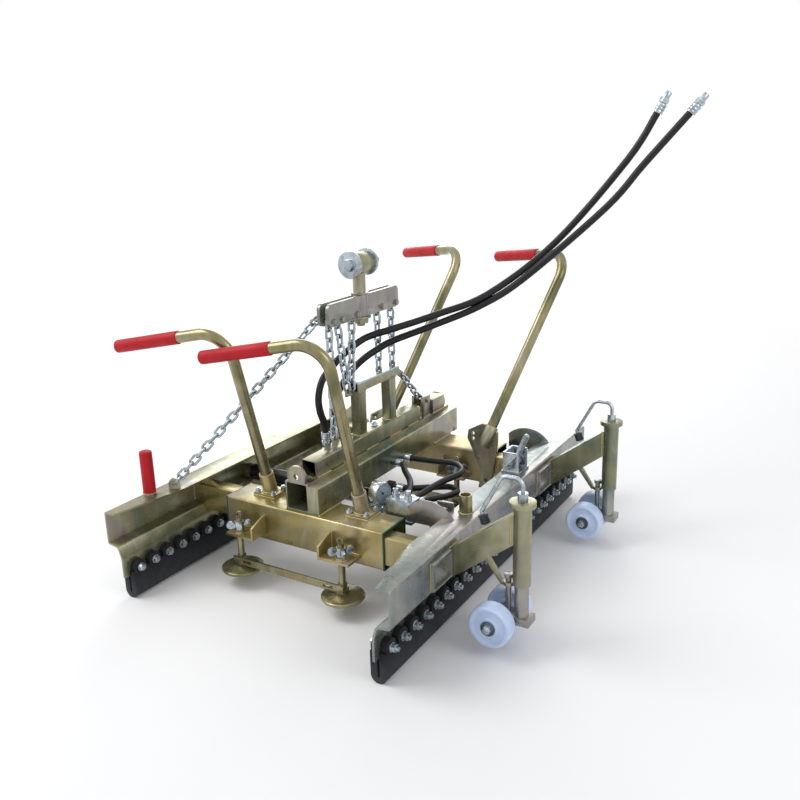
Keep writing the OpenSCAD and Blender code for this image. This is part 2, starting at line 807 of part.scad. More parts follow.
// star knob with four lobes on a spindle
module knob(x, dy) {
  placed() color(zinc) translate([x, beam_y + dy - foot_out, shelf_z + 14.3]) difference() {
    union() {
      cylinder(h = 26, r = 13);
      for (a = [45 : 90 : 315]) {
        rotate([0, 0, a]) {
          translate([0, -4.5, 8]) cube([22, 9, 10]);
          translate([24, 4.5, 17]) rotate([90, 0, 0]) cylinder(h = 9, r = 11);
        }
      }
    }
    translate([0, 0, -1]) cylinder(h = 40, r = spindle_r + 0.05);
  }
}

module knob_a() {
  knob(foot_x0, 0);
}

module knob_b() {
  knob(foot_x1, 0);
}

module knob_c() {
  knob(foot_x0, beam_gap);
}

module knob_d() {
  knob(foot_x1, beam_gap);
}

// pair of foot discs on spindles joined by a flat link bar
module feet(dy) {
  placed() color(zinc) translate([0, beam_y + dy - foot_out, 0]) {
    for (x = [foot_x0, foot_x1]) {
      translate([x, 0, foot_z]) rotate_extrude() polygon([
        [0, 0], [foot_r - 2, 0], [foot_r, 3], [foot_r, 8], [foot_r - 4, 10], [foot_r - 12, 10],
        [26, 14], [16, 16], [16, 24], [12, 24], [12, 42], [spindle_r, 42],
        [spindle_r, foot_top - foot_z], [0, foot_top - foot_z]
      ]);
      translate([x, 3, foot_top + 7]) rotate([90, 0, 0]) difference() {
        union() {
          cylinder(h = 6, r = 11);
          translate([-8, -9, 0]) cube([16, 8, 6]);
        }
        translate([0, 0, -1]) cylinder(h = 8, r = 5.5);
      }
      translate([x - 6, -14, foot_z + 26]) cube([12, 8, 12]);
    }
    difference() {
      box(foot_x0 - 14, foot_x1 + 14, -20, -14, foot_z + 22, foot_z + 42);
      for (x = [foot_x0 + 18, foot_x1 - 48]) {
        box(x, x + 30, -21, -13, foot_z + 28, foot_z + 36);
      }
    }
  }
}

module feet_front() {
  feet(0);
}

module feet_rear() {
  feet(beam_gap);
}

// bent handle tube round its socket point, standing along Z and bending towards -X
module handle_tube(l, r) {
  h = l - apex_cut;
  cylinder(h = h + 1, r = r);
  translate([-rod_bend, 0, h]) rotate([90, 0, 0])
    rotate_extrude(angle = rod_turn) translate([rod_bend, 0]) circle(r = r - 0.05);
  translate([-rod_bend + rod_bend * cos(rod_turn), 0, h + rod_bend * sin(rod_turn)])
    rotate([0, -rod_turn, 0]) translate([0, 0, -1]) cylinder(h = rod_drop - 3, r = r);
}

module handle_grip(l) {
  h = l - apex_cut;
  translate([-rod_bend + rod_bend * cos(rod_turn), 0, h + rod_bend * sin(rod_turn)])
    rotate([0, -rod_turn, 0]) translate([0, 0, rod_drop - grip_l]) difference() {
    union() {
      cylinder(h = grip_l - 3, r = grip_r);
      translate([0, 0, grip_l - 3]) cylinder(h = 3, r = grip_r - 2);
    }
    translate([0, 0, -1]) cylinder(h = grip_l - 3, r = rod_r + 0.2);
  }
}

// places of the four handles, with the right length for each pair
module handle_places() {
  for (x = [hand_x0, hand_x1]) {
    translate([x, hand_y, beam_top + 8]) rotate([hand_lean, 0, 0]) rotate([0, 0, hand_turn]) children(0);
  }
  for (f = [rear_foot, rear_foot2]) {
    translate(f) rotate([0, 0, -rear_turn]) rotate([-rear_lean, 0, 0]) children(1);
  }
}

module handle_tubes() {
  placed() color(gold) handle_places() {
    difference() {
      handle_tube(rod_l0, rod_r);
      translate([0, 0, -1]) cylinder(h = rod_l0 - apex_cut, r = rod_r - rod_t);
    }
    difference() {
      union() {
        handle_tube(rod_l1, rod_r);
        translate([0, 0, -55]) cylinder(h = 56, r = rod_r);
      }
      translate([0, 0, -56]) cylinder(h = rod_l1 - apex_cut + 55, r = rod_r - rod_t);
    }
  }
}

module handle_grips() {
  placed() color(red) handle_places() {
    handle_grip(rod_l0);
    handle_grip(rod_l1);
  }
}

module handle_sockets() {
  placed() color(gold) for (x = [hand_x0, hand_x1]) {
    difference() {
      union() {
        box(x - 36, x + 36, hand_y - 32, hand_y + 32, beam_top, beam_top + 8);
        translate([x, hand_y, beam_top + 8]) rotate([hand_lean, 0, 0]) translate([0, 0, -20])
          cylinder(h = 80, r = rod_r + 5);
      }
      box(x - 60, x + 60, hand_y - 60, hand_y + 60, beam_top - 60, beam_top);
      translate([x, hand_y, beam_top + 8]) rotate([hand_lean, 0, 0])
        cylinder(h = 90, r = rod_r + 0.1);
    }
  }
}

// hexagon bolt with its washer, standing on Z = 0
module set_bolt(r) {
  cylinder(h = 1.6, r = 1.9 * r);
  translate([0, 0, 1.6]) cylinder(h = 1.3 * r, r = 1.7 * r, $fn = 6);
  cylinder(h = 1.6 + 2 * r, r = r);
}

module frame_bolts() {
  placed() color(zinc) {
    for (x = [hand_x0, hand_x1]) {
      for (dx = [-27, 27]) {
        for (dy = [-23, 23]) {
          translate([x + dx, hand_y + dy, beam_top + 8.2]) set_bolt(5);
        }
      }
    }
    for (y = [-91, 40]) {
      translate([top_x0 + top_w / 2, y, top_top + 0.2]) set_bolt(6);
    }
  }
}

module rear_plates() {
  placed() color(gold) for (f = [rear_foot, rear_foot2]) {
    difference() {
      union() {
        translate([f[0], rear_y, 0]) along_y(-10, 0) polygon([
          [-40, 112], [-16, 112], [8, 162], [22, 240], [24, 300],
          [10, 322], [-28, 326], [-74, 300], [-78, 272], [-30, 172]
        ]);
        intersection() {
          translate(f) rotate([0, 0, -rear_turn]) rotate([-rear_lean, 0, 0]) translate([0, 0, -62])
            cylinder(h = 66, r = rod_r + 5);
          box(f[0] - 90, f[0] + 90, rear_y - 80, rear_y + 40, 200, 360);
        }
      }
      translate(f) rotate([0, 0, -rear_turn]) rotate([-rear_lean, 0, 0]) translate([0, 0, -55])
        cylinder(h = 80, r = rod_r + 0.1);
      for (z = [274, 291]) {
        translate([f[0] - 58, rear_y - 11, z]) rotate([-90, 0, 0]) cylinder(h = 12, r = 5);
      }
      translate([f[0] - 14, rear_y - 11, 140]) rotate([-90, 0, 0]) cylinder(h = 12, r = 6);
    }
  }
}

module valve_block() {
  x = gauge_at[0] + 36;
  placed() color(zinc) {
    box(gauge_at[0] - 40, x + 84, beam_y + beam_d, gauge_at[1] + 30, plate_z, plate_z + 8);
    box(x, x + 76, gauge_at[1] - 26, gauge_at[1] + 24, plate_z + 8, plate_z + 56);
    for (dx = [18, 56]) {
      translate([x + dx, gauge_at[1] - 2, plate_z + 56]) {
        cylinder(h = 12, r = 12, $fn = 6);
        cylinder(h = 24, r = 8);
      }
    }
    for (dx = [14, 38, 62]) {
      translate([x + dx, gauge_at[1] + 24, plate_z + 30]) rotate([-90, 0, 0])
        cylinder(h = 12.9, r = 11, $fn = 6);
    }
  }
}

module gauge() {
  placed() color(zinc) translate(gauge_at) {
    rotate([90, 0, gauge_turn]) difference() {
      translate([0, 0, -14]) cylinder(h = 30, r = 31);
      translate([0, 0, 12]) cylinder(h = 5, r = 28);
    }
    translate([0, 0, plate_z + 8 - gauge_at[2]]) cylinder(h = 20, r = 7);
  }
}

module gauge_face() {
  placed() color(white) translate(gauge_at) rotate([90, 0, gauge_turn]) translate([0, 0, 12])
    cylinder(h = 1.5, r = 27.7);
}

module couplings() {
  placed() color(zinc) {
    box(feed_x - 12, top_x0, feed_y0 - 14, feed_y1 + 14, long_top, long_top + 14);
    for (y = [feed_y0, feed_y1]) {
      translate([feed_x, y, long_top + 14]) {
        cylinder(h = 20, r = 13, $fn = 6);
        cylinder(h = 46, r = 9.5);
        translate([0, 0, 28]) cylinder(h = 14, r = 12);
      }
    }
    for (b = [bundle[0][5], bundle[1][7]]) {
      translate([long_x0 + long_w + long_c, b[1], b[2]]) rotate([0, 90, 0])
        cylinder(h = b[0] - long_x0 - long_w - long_c - 0.9, r = 12, $fn = 6);
    }
  }
}

module wheel_arms() {
  placed() color(gold) both_beams() {
    difference() {
      union() {
        translate([col_x, col_y, col_z0]) cylinder(h = col_z1 - col_z0, r = col_r);
        translate([col_x, col_y, col_z1]) cylinder(h = 12, r = cap_r);
        difference() {
          along_y(beam_y, beam_y + arm_d) polygon([
            [jaw_x, web_low - 3], [jaw_x, jaw_top - 17],
            [col_x - 14, arm_z + 76], [col_x - 14, arm_z]
          ]);
          along_y(beam_y + 4, beam_y + arm_d - 4) polygon([
            [jaw_x - 1, web_low + 2], [jaw_x - 1, jaw_top - 23],
            [col_x - 24, arm_z + 67], [col_x - 24, arm_z + 4]
          ]);
        }
        along_y(col_y - 6, col_y + 6) polygon([
          [col_x - 92, 221], [col_x - rod_out - 18, 166], [col_x - rod_out, 166],
          [col_x - rod_out, 175], [col_x - rod_out - 14, 175], [col_x - 84, 231]
        ]);
        translate([col_x - rod_out, col_y, 166]) cylinder(h = 9, r = 12);
      }
      translate([col_x, col_y, col_z0 - 1]) cylinder(h = col_z1 - col_z0 + 1, r = leg_r + leg_c);
      translate([col_x, col_y, col_z1 - 1]) cylinder(h = 20, r = 8.05);
      translate([col_x - rod_out, col_y, 160]) cylinder(h = 40, r = 7.05);
    }
  }
}

module pipe_socket() {
  placed() color(gold) translate([405, -172, jaw_top]) difference() {
    cylinder(h = 48, r = 17);
    translate([0, 0, 4]) cylinder(h = 50, r = 13);
  }
}

module latch_bracket() {
  placed() color(zinc) translate([latch[0], latch[1], jaw_top]) difference() {
    union() {
      box(-28, 28, -35, 35, 0, 6);
      for (y = [-33, 27]) {
        box(-24, 24, y, y + 6, 6, 62);
      }
      box(-24, -18, -27, 27, 6, 62);
    }
    translate([0, -40, latch[2] - jaw_top]) rotate([-90, 0, 0]) cylinder(h = 80, r = 6.05);
  }
}

module latch_lever() {
  placed() color(zinc) translate(latch) {
    translate([0, -37, 0]) rotate([-90, 0, 0]) cylinder(h = 74, r = 6);
    translate([0, -25, 0]) rotate([-90, 0, 0]) cylinder(h = 50, r = 12);
    rotate([0, 22, 0]) {
      box(-8, 8, -5, 5, 0, 88);
      translate([0, 5, 88]) rotate([90, 0, 0]) cylinder(h = 10, r = 8);
    }
  }
}

module piston_rod() {
  placed() color(zinc) translate([0, cyl_y, cyl_z]) {
    rotate([0, 90, 0]) {
      translate([0, 0, -30]) cylinder(h = 20, r = 20);
      translate([0, 0, -10]) cylinder(h = cyl_pin - 8, r = 14);
    }
    ram_eye(cyl_pin, 1);
  }
}

module swivel_eye() {
  top = spread_z + spread_h;
  placed() color(gold) translate([0, swivel_y, 0]) difference() {
    union() {
      translate([0, 0, spread_z - 28]) cylinder(h = spread_h + 40, r = swivel_r);
      translate([0, 0, spread_z - 19.3]) cylinder(h = 14, r = 25, $fn = 6);
      translate([0, 0, spread_z - 5.3]) cylinder(h = 5, r = 30);
      translate([0, 0, top + 0.3]) cylinder(h = 5, r = 25);
      translate([0, 0, top + 5.3]) cylinder(h = eye_z - top - 5.3, r = 18);
      translate([0, -37, eye_z]) rotate([-90, 0, 0]) cylinder(h = 74, r = 31);
    }
    translate([0, -40, eye_z]) rotate([-90, 0, 0]) cylinder(h = 80, r = eye_pin + 0.1);
  }
}

module swivel_pin() {
  placed() color(zinc) translate([0, swivel_y, eye_z]) rotate([-90, 0, 0]) {
    translate([0, 0, -52]) cylinder(h = 142, r = eye_pin);
    translate([0, 0, -45.3]) cylinder(h = 8, r = 38);
    translate([0, 0, -60]) cylinder(h = 14.7, r = 19, $fn = 6);
    translate([0, 0, 37.3]) cylinder(h = 8, r = 38);
  }
}

module crank(dy) {
  rise = crank_h - 18;
  placed() color(zinc) translate([col_x, col_y + dy, col_z1 + 12]) {
    translate([0, 0, -120]) cylinder(h = 130, r = 8);
    translate([0, 0, 0.3]) cylinder(h = 20, r = 12);
    cylinder(h = rise + 0.5, r = crank_r);
    translate([-18, 0, rise]) rotate([90, 0, 0])
      rotate_extrude(angle = 90) translate([18, 0]) circle(r = crank_r - 0.05);
    translate([-18.5 - crank_run, 0, rise + 18]) rotate([0, 90, 0])
      cylinder(h = crank_run + 1, r = crank_r);
    translate([-18 - crank_run, 0, rise - 2]) rotate([90, 0, 0]) rotate([0, 0, 90])
      rotate_extrude(angle = crank_turn) translate([20, 0]) circle(r = crank_r - 0.05);
    translate(crank_bend) rotate([0, -90 - crank_turn, 0])
      translate([0, 0, -0.5]) cylinder(h = crank_arm + 0.5, r = crank_r);
    translate(crank_end) sphere(r = crank_r + 0.4);
    translate(crank_end) rotate([0, 180 - 20, 0]) cylinder(h = 26, r = crank_r);
  }
}

module crank_front() {
  crank(0);
}

module crank_rear() {
  crank(beam_gap);
}

module crank_front_grip() {
  crank_grip(0);
}

module crank_rear_grip() {
  crank_grip(beam_gap);
}

module leg(dy) {
  placed() color(gold) translate([col_x, col_y + dy, 0]) {
    difference() {
      union() {
        translate([0, 0, leg_z]) cylinder(h = 204, r = leg_r);
        box(-trail - 16, 26, -22, 22, leg_z - 18, leg_z);
        translate([-trail, -30.7, axle_z]) rotate([-90, 0, 0]) cylinder(h = 61.4, r = 15);
        translate([-rod_out, 0, leg_z]) cylinder(h = 97, r = 7);
        translate([-rod_out, 0, leg_z + 90]) cylinder(h = 9, r = 11, $fn = 6);
      }
      translate([0, 0, leg_z + 6]) cylinder(h = 180, r = leg_r - 3);
      translate([0, 0, leg_z + 5]) cylinder(h = 220, r = 8.05);
      translate([-trail, -32, axle_z]) rotate([-90, 0, 0]) cylinder(h = 64, r = axle_r + 0.1);
    }
  }
}

module leg_front() {
  leg(0);
}

module leg_rear() {
  leg(beam_gap);
}

module wheel(dy, s) {
  w = wheel_w / 2;
  placed() color(white) translate([col_x - trail, col_y + dy + s * (wheel_gap + wheel_w) / 2, axle_z]) {
    rotate([90, 0, 0]) rotate_extrude() polygon([
      [axle_r + 0.05, -w], [20, -w], [23, -w + 4],
      [wheel_r - 12, -w + 4], [wheel_r - 8, -w], [wheel_r - 4, -w],
      [wheel_r, -w + 5], [wheel_r, w - 5], [wheel_r - 4, w], [wheel_r - 8, w], [wheel_r - 12, w - 4],
      [23, w - 4], [20, w], [axle_r + 0.05, w]
    ]);
  }
}

module end_ring() {
  translate([0, 0, ring_r]) rotate([90, 0, 0])
    rotate_extrude() translate([ring_r, 0]) circle(r = ring_d / 2);
}

module cylinder_lug() {
  z = cyl_z;
  for (y = [cyl_y - 21, cyl_y + 13]) {
    box(cyl_pin - 16, jaw_x - jaw_t, y, y + 8, z - 14, z + 16);
  }
  translate([cyl_pin, cyl_y - 25, z]) rotate([-90, 0, 0]) cylinder(h = 50, r = 8);
}

module ram_eye(x, s) {
  difference() {
    union() {
      translate([x, 12, 0]) rotate([90, 0, 0]) cylinder(h = 24, r = 15);
      box(x - (s > 0 ? 24 : 0), x + (s > 0 ? 0 : 24), -12, 12, -12, 12);
    }
    translate([x, 13, 0]) rotate([90, 0, 0]) cylinder(h = 26, r = 8.05);
  }
}

module cylinder_barrel() {
  placed() color(black) translate([0, cyl_y, cyl_z]) {
    difference() {
      rotate([0, 90, 0]) union() {
        translate([0, 0, -cyl_pin + 20]) cylinder(h = cyl_pin + 120, r = 25);
        translate([0, 0, 126]) cylinder(h = 24, r = 29);
      }
      rotate([0, 90, 0]) {
        translate([0, 0, -cyl_pin + 36]) cylinder(h = cyl_pin + 92, r = 20.05);
        translate([0, 0, 100]) cylinder(h = 80, r = 14.05);
      }
    }
    ram_eye(-cyl_pin, -1);
    for (x = [-cyl_pin + 50, 110]) {
      translate([x, 0, 22]) cylinder(h = 12, r = 10, $fn = 6);
    }
    translate([110 - 11, -11, 34]) cube([22, 22, 26]);
    translate([120, 0, bundle[2][8][2] - cyl_z]) rotate([0, 90, 0])
      cylinder(h = 13.2, r = 10, $fn = 6);
  }
}

module crank_grip(dy) {
  placed() color(black) translate([col_x, col_y + dy, col_z1 + 12])
    translate(crank_end) rotate([0, 180 - 20, 0]) translate([0, 0, 7]) difference() {
      union() {
        cylinder(h = 22, r = 12);
        translate([0, 0, 22]) cylinder(h = 2, r = 10.5);
      }
      translate([0, 0, -1]) cylinder(h = 20, r = crank_r + 0.2);
    }
}

module axle(dy) {
  out = wheel_gap / 2 + wheel_w;
  placed() color(black) translate([col_x - trail, col_y + dy, axle_z]) rotate([90, 0, 0]) {
    translate([0, 0, -out - 5]) cylinder(h = 2 * out + 10, r = axle_r);
    for (s = [-1, 1]) {
      translate([0, 0, s * (out + 2.5) - 2]) cylinder(h = 4, r = 18);
      translate([0, 0, s * (out + 8) - 4]) cylinder(h = 8, r = 11, $fn = 6);
    }
  }
}

module axle_front() {
  axle(0);
}

module axle_rear() {
  axle(beam_gap);
}

module hoses() {
  placed() color(black) {
    for (r = bundle) {
      hose(smooth_route(r, 3), hose_r, [0, 0, 1]);
    }
  }
}

module feed_hoses() {
  placed() color(black) {
    hose(smooth_route(feed_a, 2), feed_r, [0.68, -0.73, 0]);
    hose(smooth_route(feed_b, 2), feed_r, [0.68, -0.73, 0]);
  }
}

module feed_ends() {
  placed() color(zinc) {
    for (r = [feed_a, feed_b]) {
      s = smooth_route(r, 2);
      n = len(s);
      aim(s[n - 1], 2 * s[n - 1] - s[n - 2]) {
        cylinder(h = 34, r = feed_r + 4, $fn = 6);
        cylinder(h = 62, r = feed_r);
      }
      translate(r[0]) translate([0, 0, -22]) cylinder(h = 22, r = feed_r + 2);
    }
  }
}

module wheel_a() {
  wheel(0, -1);
}

module wheel_b() {
  wheel(0, 1);
}

module wheel_c() {
  wheel(beam_gap, -1);
}

module wheel_d() {
  wheel(beam_gap, 1);
}

crossbeams();
slide_liners();
long_beam();
top_tube();
tower();
rear_clevis();
left_jaw();
left_rubber();
left_bolts();
left_tubes();
lock_bolt();
side_post();
side_grip();
spreader();
left_chain();
front_chains();
rear_chains();
foot_brackets();
handle_sockets();
frame_bolts();
rear_plates();
handle_tubes();
handle_grips();
valve_block();
gauge();
gauge_face();
couplings();
cylinder_barrel();
hoses();
feed_hoses();
feed_ends();
right_jaw();
right_rubber();
right_bolts();
right_tubes();
wheel_arms();
pipe_socket();
latch_bracket();
piston_rod();
latch_lever();
swivel_eye();
swivel_pin();
crank_front();
crank_front_grip();
crank_rear();
crank_rear_grip();
leg_front();
leg_rear();
axle_front();
axle_rear();
wheel_a();
wheel_b();
wheel_c();
wheel_d();
feet_front();
feet_rear();
knob_a();
knob_b();
knob_c();
knob_d();
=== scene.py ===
# %% [markdown]
# This lesson dresses a paving block laying clamp. Its steel frame comes from the part's own source as exact
# solids, so nothing is measured again here. Blender adds what a solid model leaves plain: rounded sheet
# bends, weld beads, hoses that hang, and the finishes of zinc, rubber and plastic.

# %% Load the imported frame
import bpy
import json
import math
from mathutils import Matrix, Vector

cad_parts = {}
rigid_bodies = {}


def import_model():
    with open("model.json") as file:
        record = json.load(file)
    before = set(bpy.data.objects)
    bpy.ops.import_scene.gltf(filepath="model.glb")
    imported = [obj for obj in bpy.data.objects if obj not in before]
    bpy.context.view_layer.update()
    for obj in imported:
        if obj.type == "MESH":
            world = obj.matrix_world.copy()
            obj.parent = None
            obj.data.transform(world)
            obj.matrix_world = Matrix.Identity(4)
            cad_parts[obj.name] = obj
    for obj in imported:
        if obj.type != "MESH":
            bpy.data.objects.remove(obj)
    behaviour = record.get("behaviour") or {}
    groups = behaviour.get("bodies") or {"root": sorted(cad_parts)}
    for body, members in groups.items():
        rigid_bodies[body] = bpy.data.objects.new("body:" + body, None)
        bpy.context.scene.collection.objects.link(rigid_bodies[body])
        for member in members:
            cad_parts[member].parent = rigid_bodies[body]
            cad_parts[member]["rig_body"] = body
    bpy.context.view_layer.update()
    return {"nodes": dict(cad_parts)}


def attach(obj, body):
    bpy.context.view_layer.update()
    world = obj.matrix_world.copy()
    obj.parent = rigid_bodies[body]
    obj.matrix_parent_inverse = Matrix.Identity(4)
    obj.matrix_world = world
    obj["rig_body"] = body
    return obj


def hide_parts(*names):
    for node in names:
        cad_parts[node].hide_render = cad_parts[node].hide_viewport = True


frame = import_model()
nodes = frame["nodes"]

# %% [markdown]
# The source counts millimetres from the middle of the jaws, and then moves the whole clamp so that the
# middle of its outline is the origin. The same shift is repeated here, so that every number below can be
# compared with a drawing.

# %% Drawing coordinates to metres
OUTLINE_MIDDLE = Vector((68.2519, 54.8677, 0.0))
# places that more than one piece stands on: columns, handle feet (in front and behind), side post, gauge
BEAM_GAP = 646
COLUMN_X, COLUMN_Y = 625, {"front": -325, "rear": -325 + BEAM_GAP}
HAND_XS, HAND_Y, HAND_FOOT_Z, HAND_LEAN = (-160, 150), -269, 238, math.radians(15)
REAR_XS, REAR_Y, REAR_FOOT_Z = (258, -106), 300, 313
REAR_TURN, REAR_LEAN = math.radians(-32), math.radians(-29)
GRIP_POST_AT = (-427, -472)
GAUGE_AT = (159, -199)


def on_drawing(x, y, z):
    """A point of the drawing, in millimetres, as a place in the scene, in metres."""
    return (Vector((x, y, z)) - OUTLINE_MIDDLE) * 0.001


def placed_at(x, y, z):
    """The matrix that moves a piece to a point of the drawing."""
    return Matrix.Translation(on_drawing(x, y, z))


print("jaw middle is at", [round(v, 4) for v in on_drawing(0, 0, 0)])

# %% [markdown]
# The camera stands about chest high, 1.16 m above the floor, to the right of the front crossbeam. Its place
# and its lens were found from straight edges of the clamp. A lens shift replaces cropping: it moves the
# frame a little to the side without turning the camera, so upright tubes keep their lean.

# %% Camera
CAMERA_AT = (1312.9, -1981.7, 1163.9)
AZIMUTH, ELEVATION, ROLL = (math.radians(v) for v in (32.7, 16.1, -2.1))
flat = math.cos(ELEVATION)
back = Vector((math.sin(AZIMUTH) * flat, -math.cos(AZIMUTH) * flat, math.sin(ELEVATION)))
level = Vector((math.cos(AZIMUTH), math.sin(AZIMUTH), 0))
upright = back.cross(level)
right = math.cos(ROLL) * level + math.sin(ROLL) * upright
up = math.cos(ROLL) * upright - math.sin(ROLL) * level
lens = bpy.data.cameras.new("camera")
lens.sensor_width = 36
lens.lens = 38.23
lens.shift_x = 0.0271
lens.shift_y = -0.0111
lens.clip_start = 0.05
lens.clip_end = 60
camera = bpy.data.objects.new("camera", lens)
bpy.context.scene.collection.objects.link(camera)
turn = Matrix((right, up, back)).transposed().to_4x4()
camera.matrix_world = Matrix.Translation(on_drawing(*CAMERA_AT)) @ turn
bpy.context.scene.camera = camera
print("camera", [round(v, 3) for v in camera.location], "lens", lens.lens)

# %% [markdown]
# Modelling by script is easiest with a few habits of the hand put into functions: pick one thing and
# nothing else, and at the end put the piece's place into its mesh, give it its finish and hang it on the
# body that it moves with.

# %% Habits of the hand
def pick_only(piece):
    """Deselects everything, then picks one piece and makes it the active one."""
    if bpy.context.object and bpy.context.object.mode != "OBJECT":
        bpy.ops.object.mode_set(mode="OBJECT")
    bpy.ops.object.select_all(action="DESELECT")
    piece.select_set(True)
    bpy.context.view_layer.objects.active = piece


def settle(piece, name, body, finish, stands_for=()):
    """Names a finished piece, bakes its place into its mesh, and hangs it on its body."""
    pick_only(piece)
    bpy.ops.object.transform_apply(location=True, rotation=True, scale=True)
    piece.name = name
    piece.data.name = name
    piece.data.materials.clear()
    piece.data.materials.append(finish)
    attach(piece, body)
    if stands_for:
        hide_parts(*stands_for)
    return piece


def apply_modifiers(piece):
    """Turns a piece's modifiers into plain mesh, in their order."""
    pick_only(piece)
    for m in list(piece.modifiers):
        bpy.ops.object.modifier_apply(modifier=m.name)


def copied(piece, matrix):
    """A copy with its own mesh, moved by a matrix."""
    twin = piece.copy()
    twin.data = piece.data.copy()
    bpy.context.scene.collection.objects.link(twin)
    twin.matrix_world = matrix @ piece.matrix_world
    return twin


def aimed(a, b):
    """The matrix that lays the Z axis from point a towards point b."""
    return Matrix.Translation(a) @ (b - a).to_track_quat("Z", "Y").to_matrix().to_4x4()


print("habits ready")

# %% [markdown]
# A finish is a small tree of nodes. One function adds a node, sets it up and links it, so that each
# material below reads as a list of what its surface does. Colours are written as they are seen on a screen,
# in hex, and one function turns them into the linear light that the renderer counts in.

# %% Colours and nodes
def seen(hex_colour):
    """A screen colour in hex as linear light."""
    parts = [int(hex_colour[i:i + 2], 16) / 255 for i in (1, 3, 5)]
    return tuple(v / 12.92 if v <= 0.04045 else ((v + 0.055) / 1.055) ** 2.4 for v in parts) + (1.0,)


def add(finish, kind, settings=(), feeds=()):
    """Adds a node to a finish, with its settings, and with values or links on its inputs."""
    tree = finish.node_tree
    node = tree.nodes.new(kind)
    for key, value in dict(settings).items():
        setattr(node, key, value)
    for key, value in dict(feeds).items():
        if isinstance(value, bpy.types.NodeSocket):
            tree.links.new(value, node.inputs[key])
        else:
            node.inputs[key].default_value = value
    return node


def new_finish(name, **surface):
    """A finish with its Principled surface, whose plain numbers are set on its own sockets."""
    finish = bpy.data.materials.new(name)
    finish.use_nodes = True
    shader = finish.node_tree.nodes["Principled BSDF"]
    for key, value in surface.items():
        shader.inputs[key.replace("_", " ")].default_value = value
    return finish, shader


def ramp(finish, factor, stops):
    """A colour ramp with the given places and hex colours."""
    node = add(finish, "ShaderNodeValToRGB", feeds={"Fac": factor})
    band = node.color_ramp
    while len(band.elements) < len(stops):
        band.elements.new(0.5)
    for element, (place, colour) in zip(band.elements, stops):
        element.position = place
        element.color = seen(colour)
    return node


def noise(finish, place, scale, detail=3.0, rough=0.5, warp=0.0):
    """Noise whose features are about 1000 / scale millimetres across."""
    feeds = {"Vector": place, "Scale": scale, "Detail": detail, "Roughness": rough, "Distortion": warp}
    return add(finish, "ShaderNodeTexNoise", feeds=feeds)


def remap(finish, value, source, target):
    """Maps a value from one range to another."""
    feeds = {"Value": value, "From Min": source[0], "From Max": source[1],
             "To Min": target[0], "To Max": target[1]}
    return add(finish, "ShaderNodeMapRange", feeds=feeds).outputs["Result"]


def mixed_colour(finish, share, first, second):
    """Mixes two colours. share runs from 0 for the first to 1 for the second."""
    node = add(finish, "ShaderNodeMix", {"data_type": "RGBA"}, {0: share, 6: first, 7: second})
    return node.outputs[2]


def bumped(finish, shader, height, strength, distance):
    """Lifts the surface by a height, without moving its mesh."""
    bump = add(finish, "ShaderNodeBump", feeds={"Strength": strength, "Distance": distance, "Height": height})
    finish.node_tree.links.new(bump.outputs["Normal"], shader.inputs["Normal"])


print("white is", seen("#ffffff")[:3])

# %% [markdown]
# Yellow-passivated zinc: the sheet is dipped in a chromate bath after plating. The film is thin enough for
# its colour to shift with its thickness, from pale straw to olive, pink and a bluish silver where the bath
# ran off. It is a metal under a thin film, so it is mostly metallic, and the drift is a wide, warped noise
# 140 to 220 mm across.

# %% Yellow-passivated sheet
def passivated(name, tones, roughness, drift):
    """Chromate film over zinc plate: wide drifts of tone, run-off marks, and the grain of rolled steel."""
    finish, shader = new_finish(name, Metallic=0.78)
    place = add(finish, "ShaderNodeTexCoord").outputs["Object"]
    wide = noise(finish, place, drift, 3.0, 0.5, 0.7)
    film = ramp(finish, wide.outputs["Fac"], tones)
    # run-off marks 30 mm wide that are longer upwards than across
    tall = add(finish, "ShaderNodeMapping", feeds={"Vector": place, "Scale": (34.0, 34.0, 9.0)})
    runs = noise(finish, tall.outputs["Vector"], 1.0, 3.0, 0.5, 0.6)
    pale = remap(finish, runs.outputs["Fac"], (0.42, 0.72), (0.0, 0.2))
    tone = mixed_colour(finish, pale, film.outputs["Color"], seen("#cdc7b8"))
    finish.node_tree.links.new(tone, shader.inputs["Base Color"])
    # handling marks change the gloss in patches 40 mm across
    marks = noise(finish, place, 26.0, 3.0, 0.5, 0.3)
    gloss = remap(finish, marks.outputs["Fac"], (0.3, 0.7), (roughness - 0.05, roughness + 0.1))
    finish.node_tree.links.new(gloss, shader.inputs["Roughness"])
    # rolled steel is never quite flat: slow waves 60 mm apart, and a grain drawn at 3 mm so that it shows
    waves = noise(finish, place, 16.0, 2.0, 0.4)
    grain = noise(finish, place, 330.0, 2.0, 0.5)
    both = add(finish, "ShaderNodeMath", {"operation": "MULTIPLY_ADD"},
               {0: grain.outputs["Fac"], 1: 0.035, 2: waves.outputs["Fac"]})
    bumped(finish, shader, both.outputs[0], 0.25, 0.0012)
    return finish


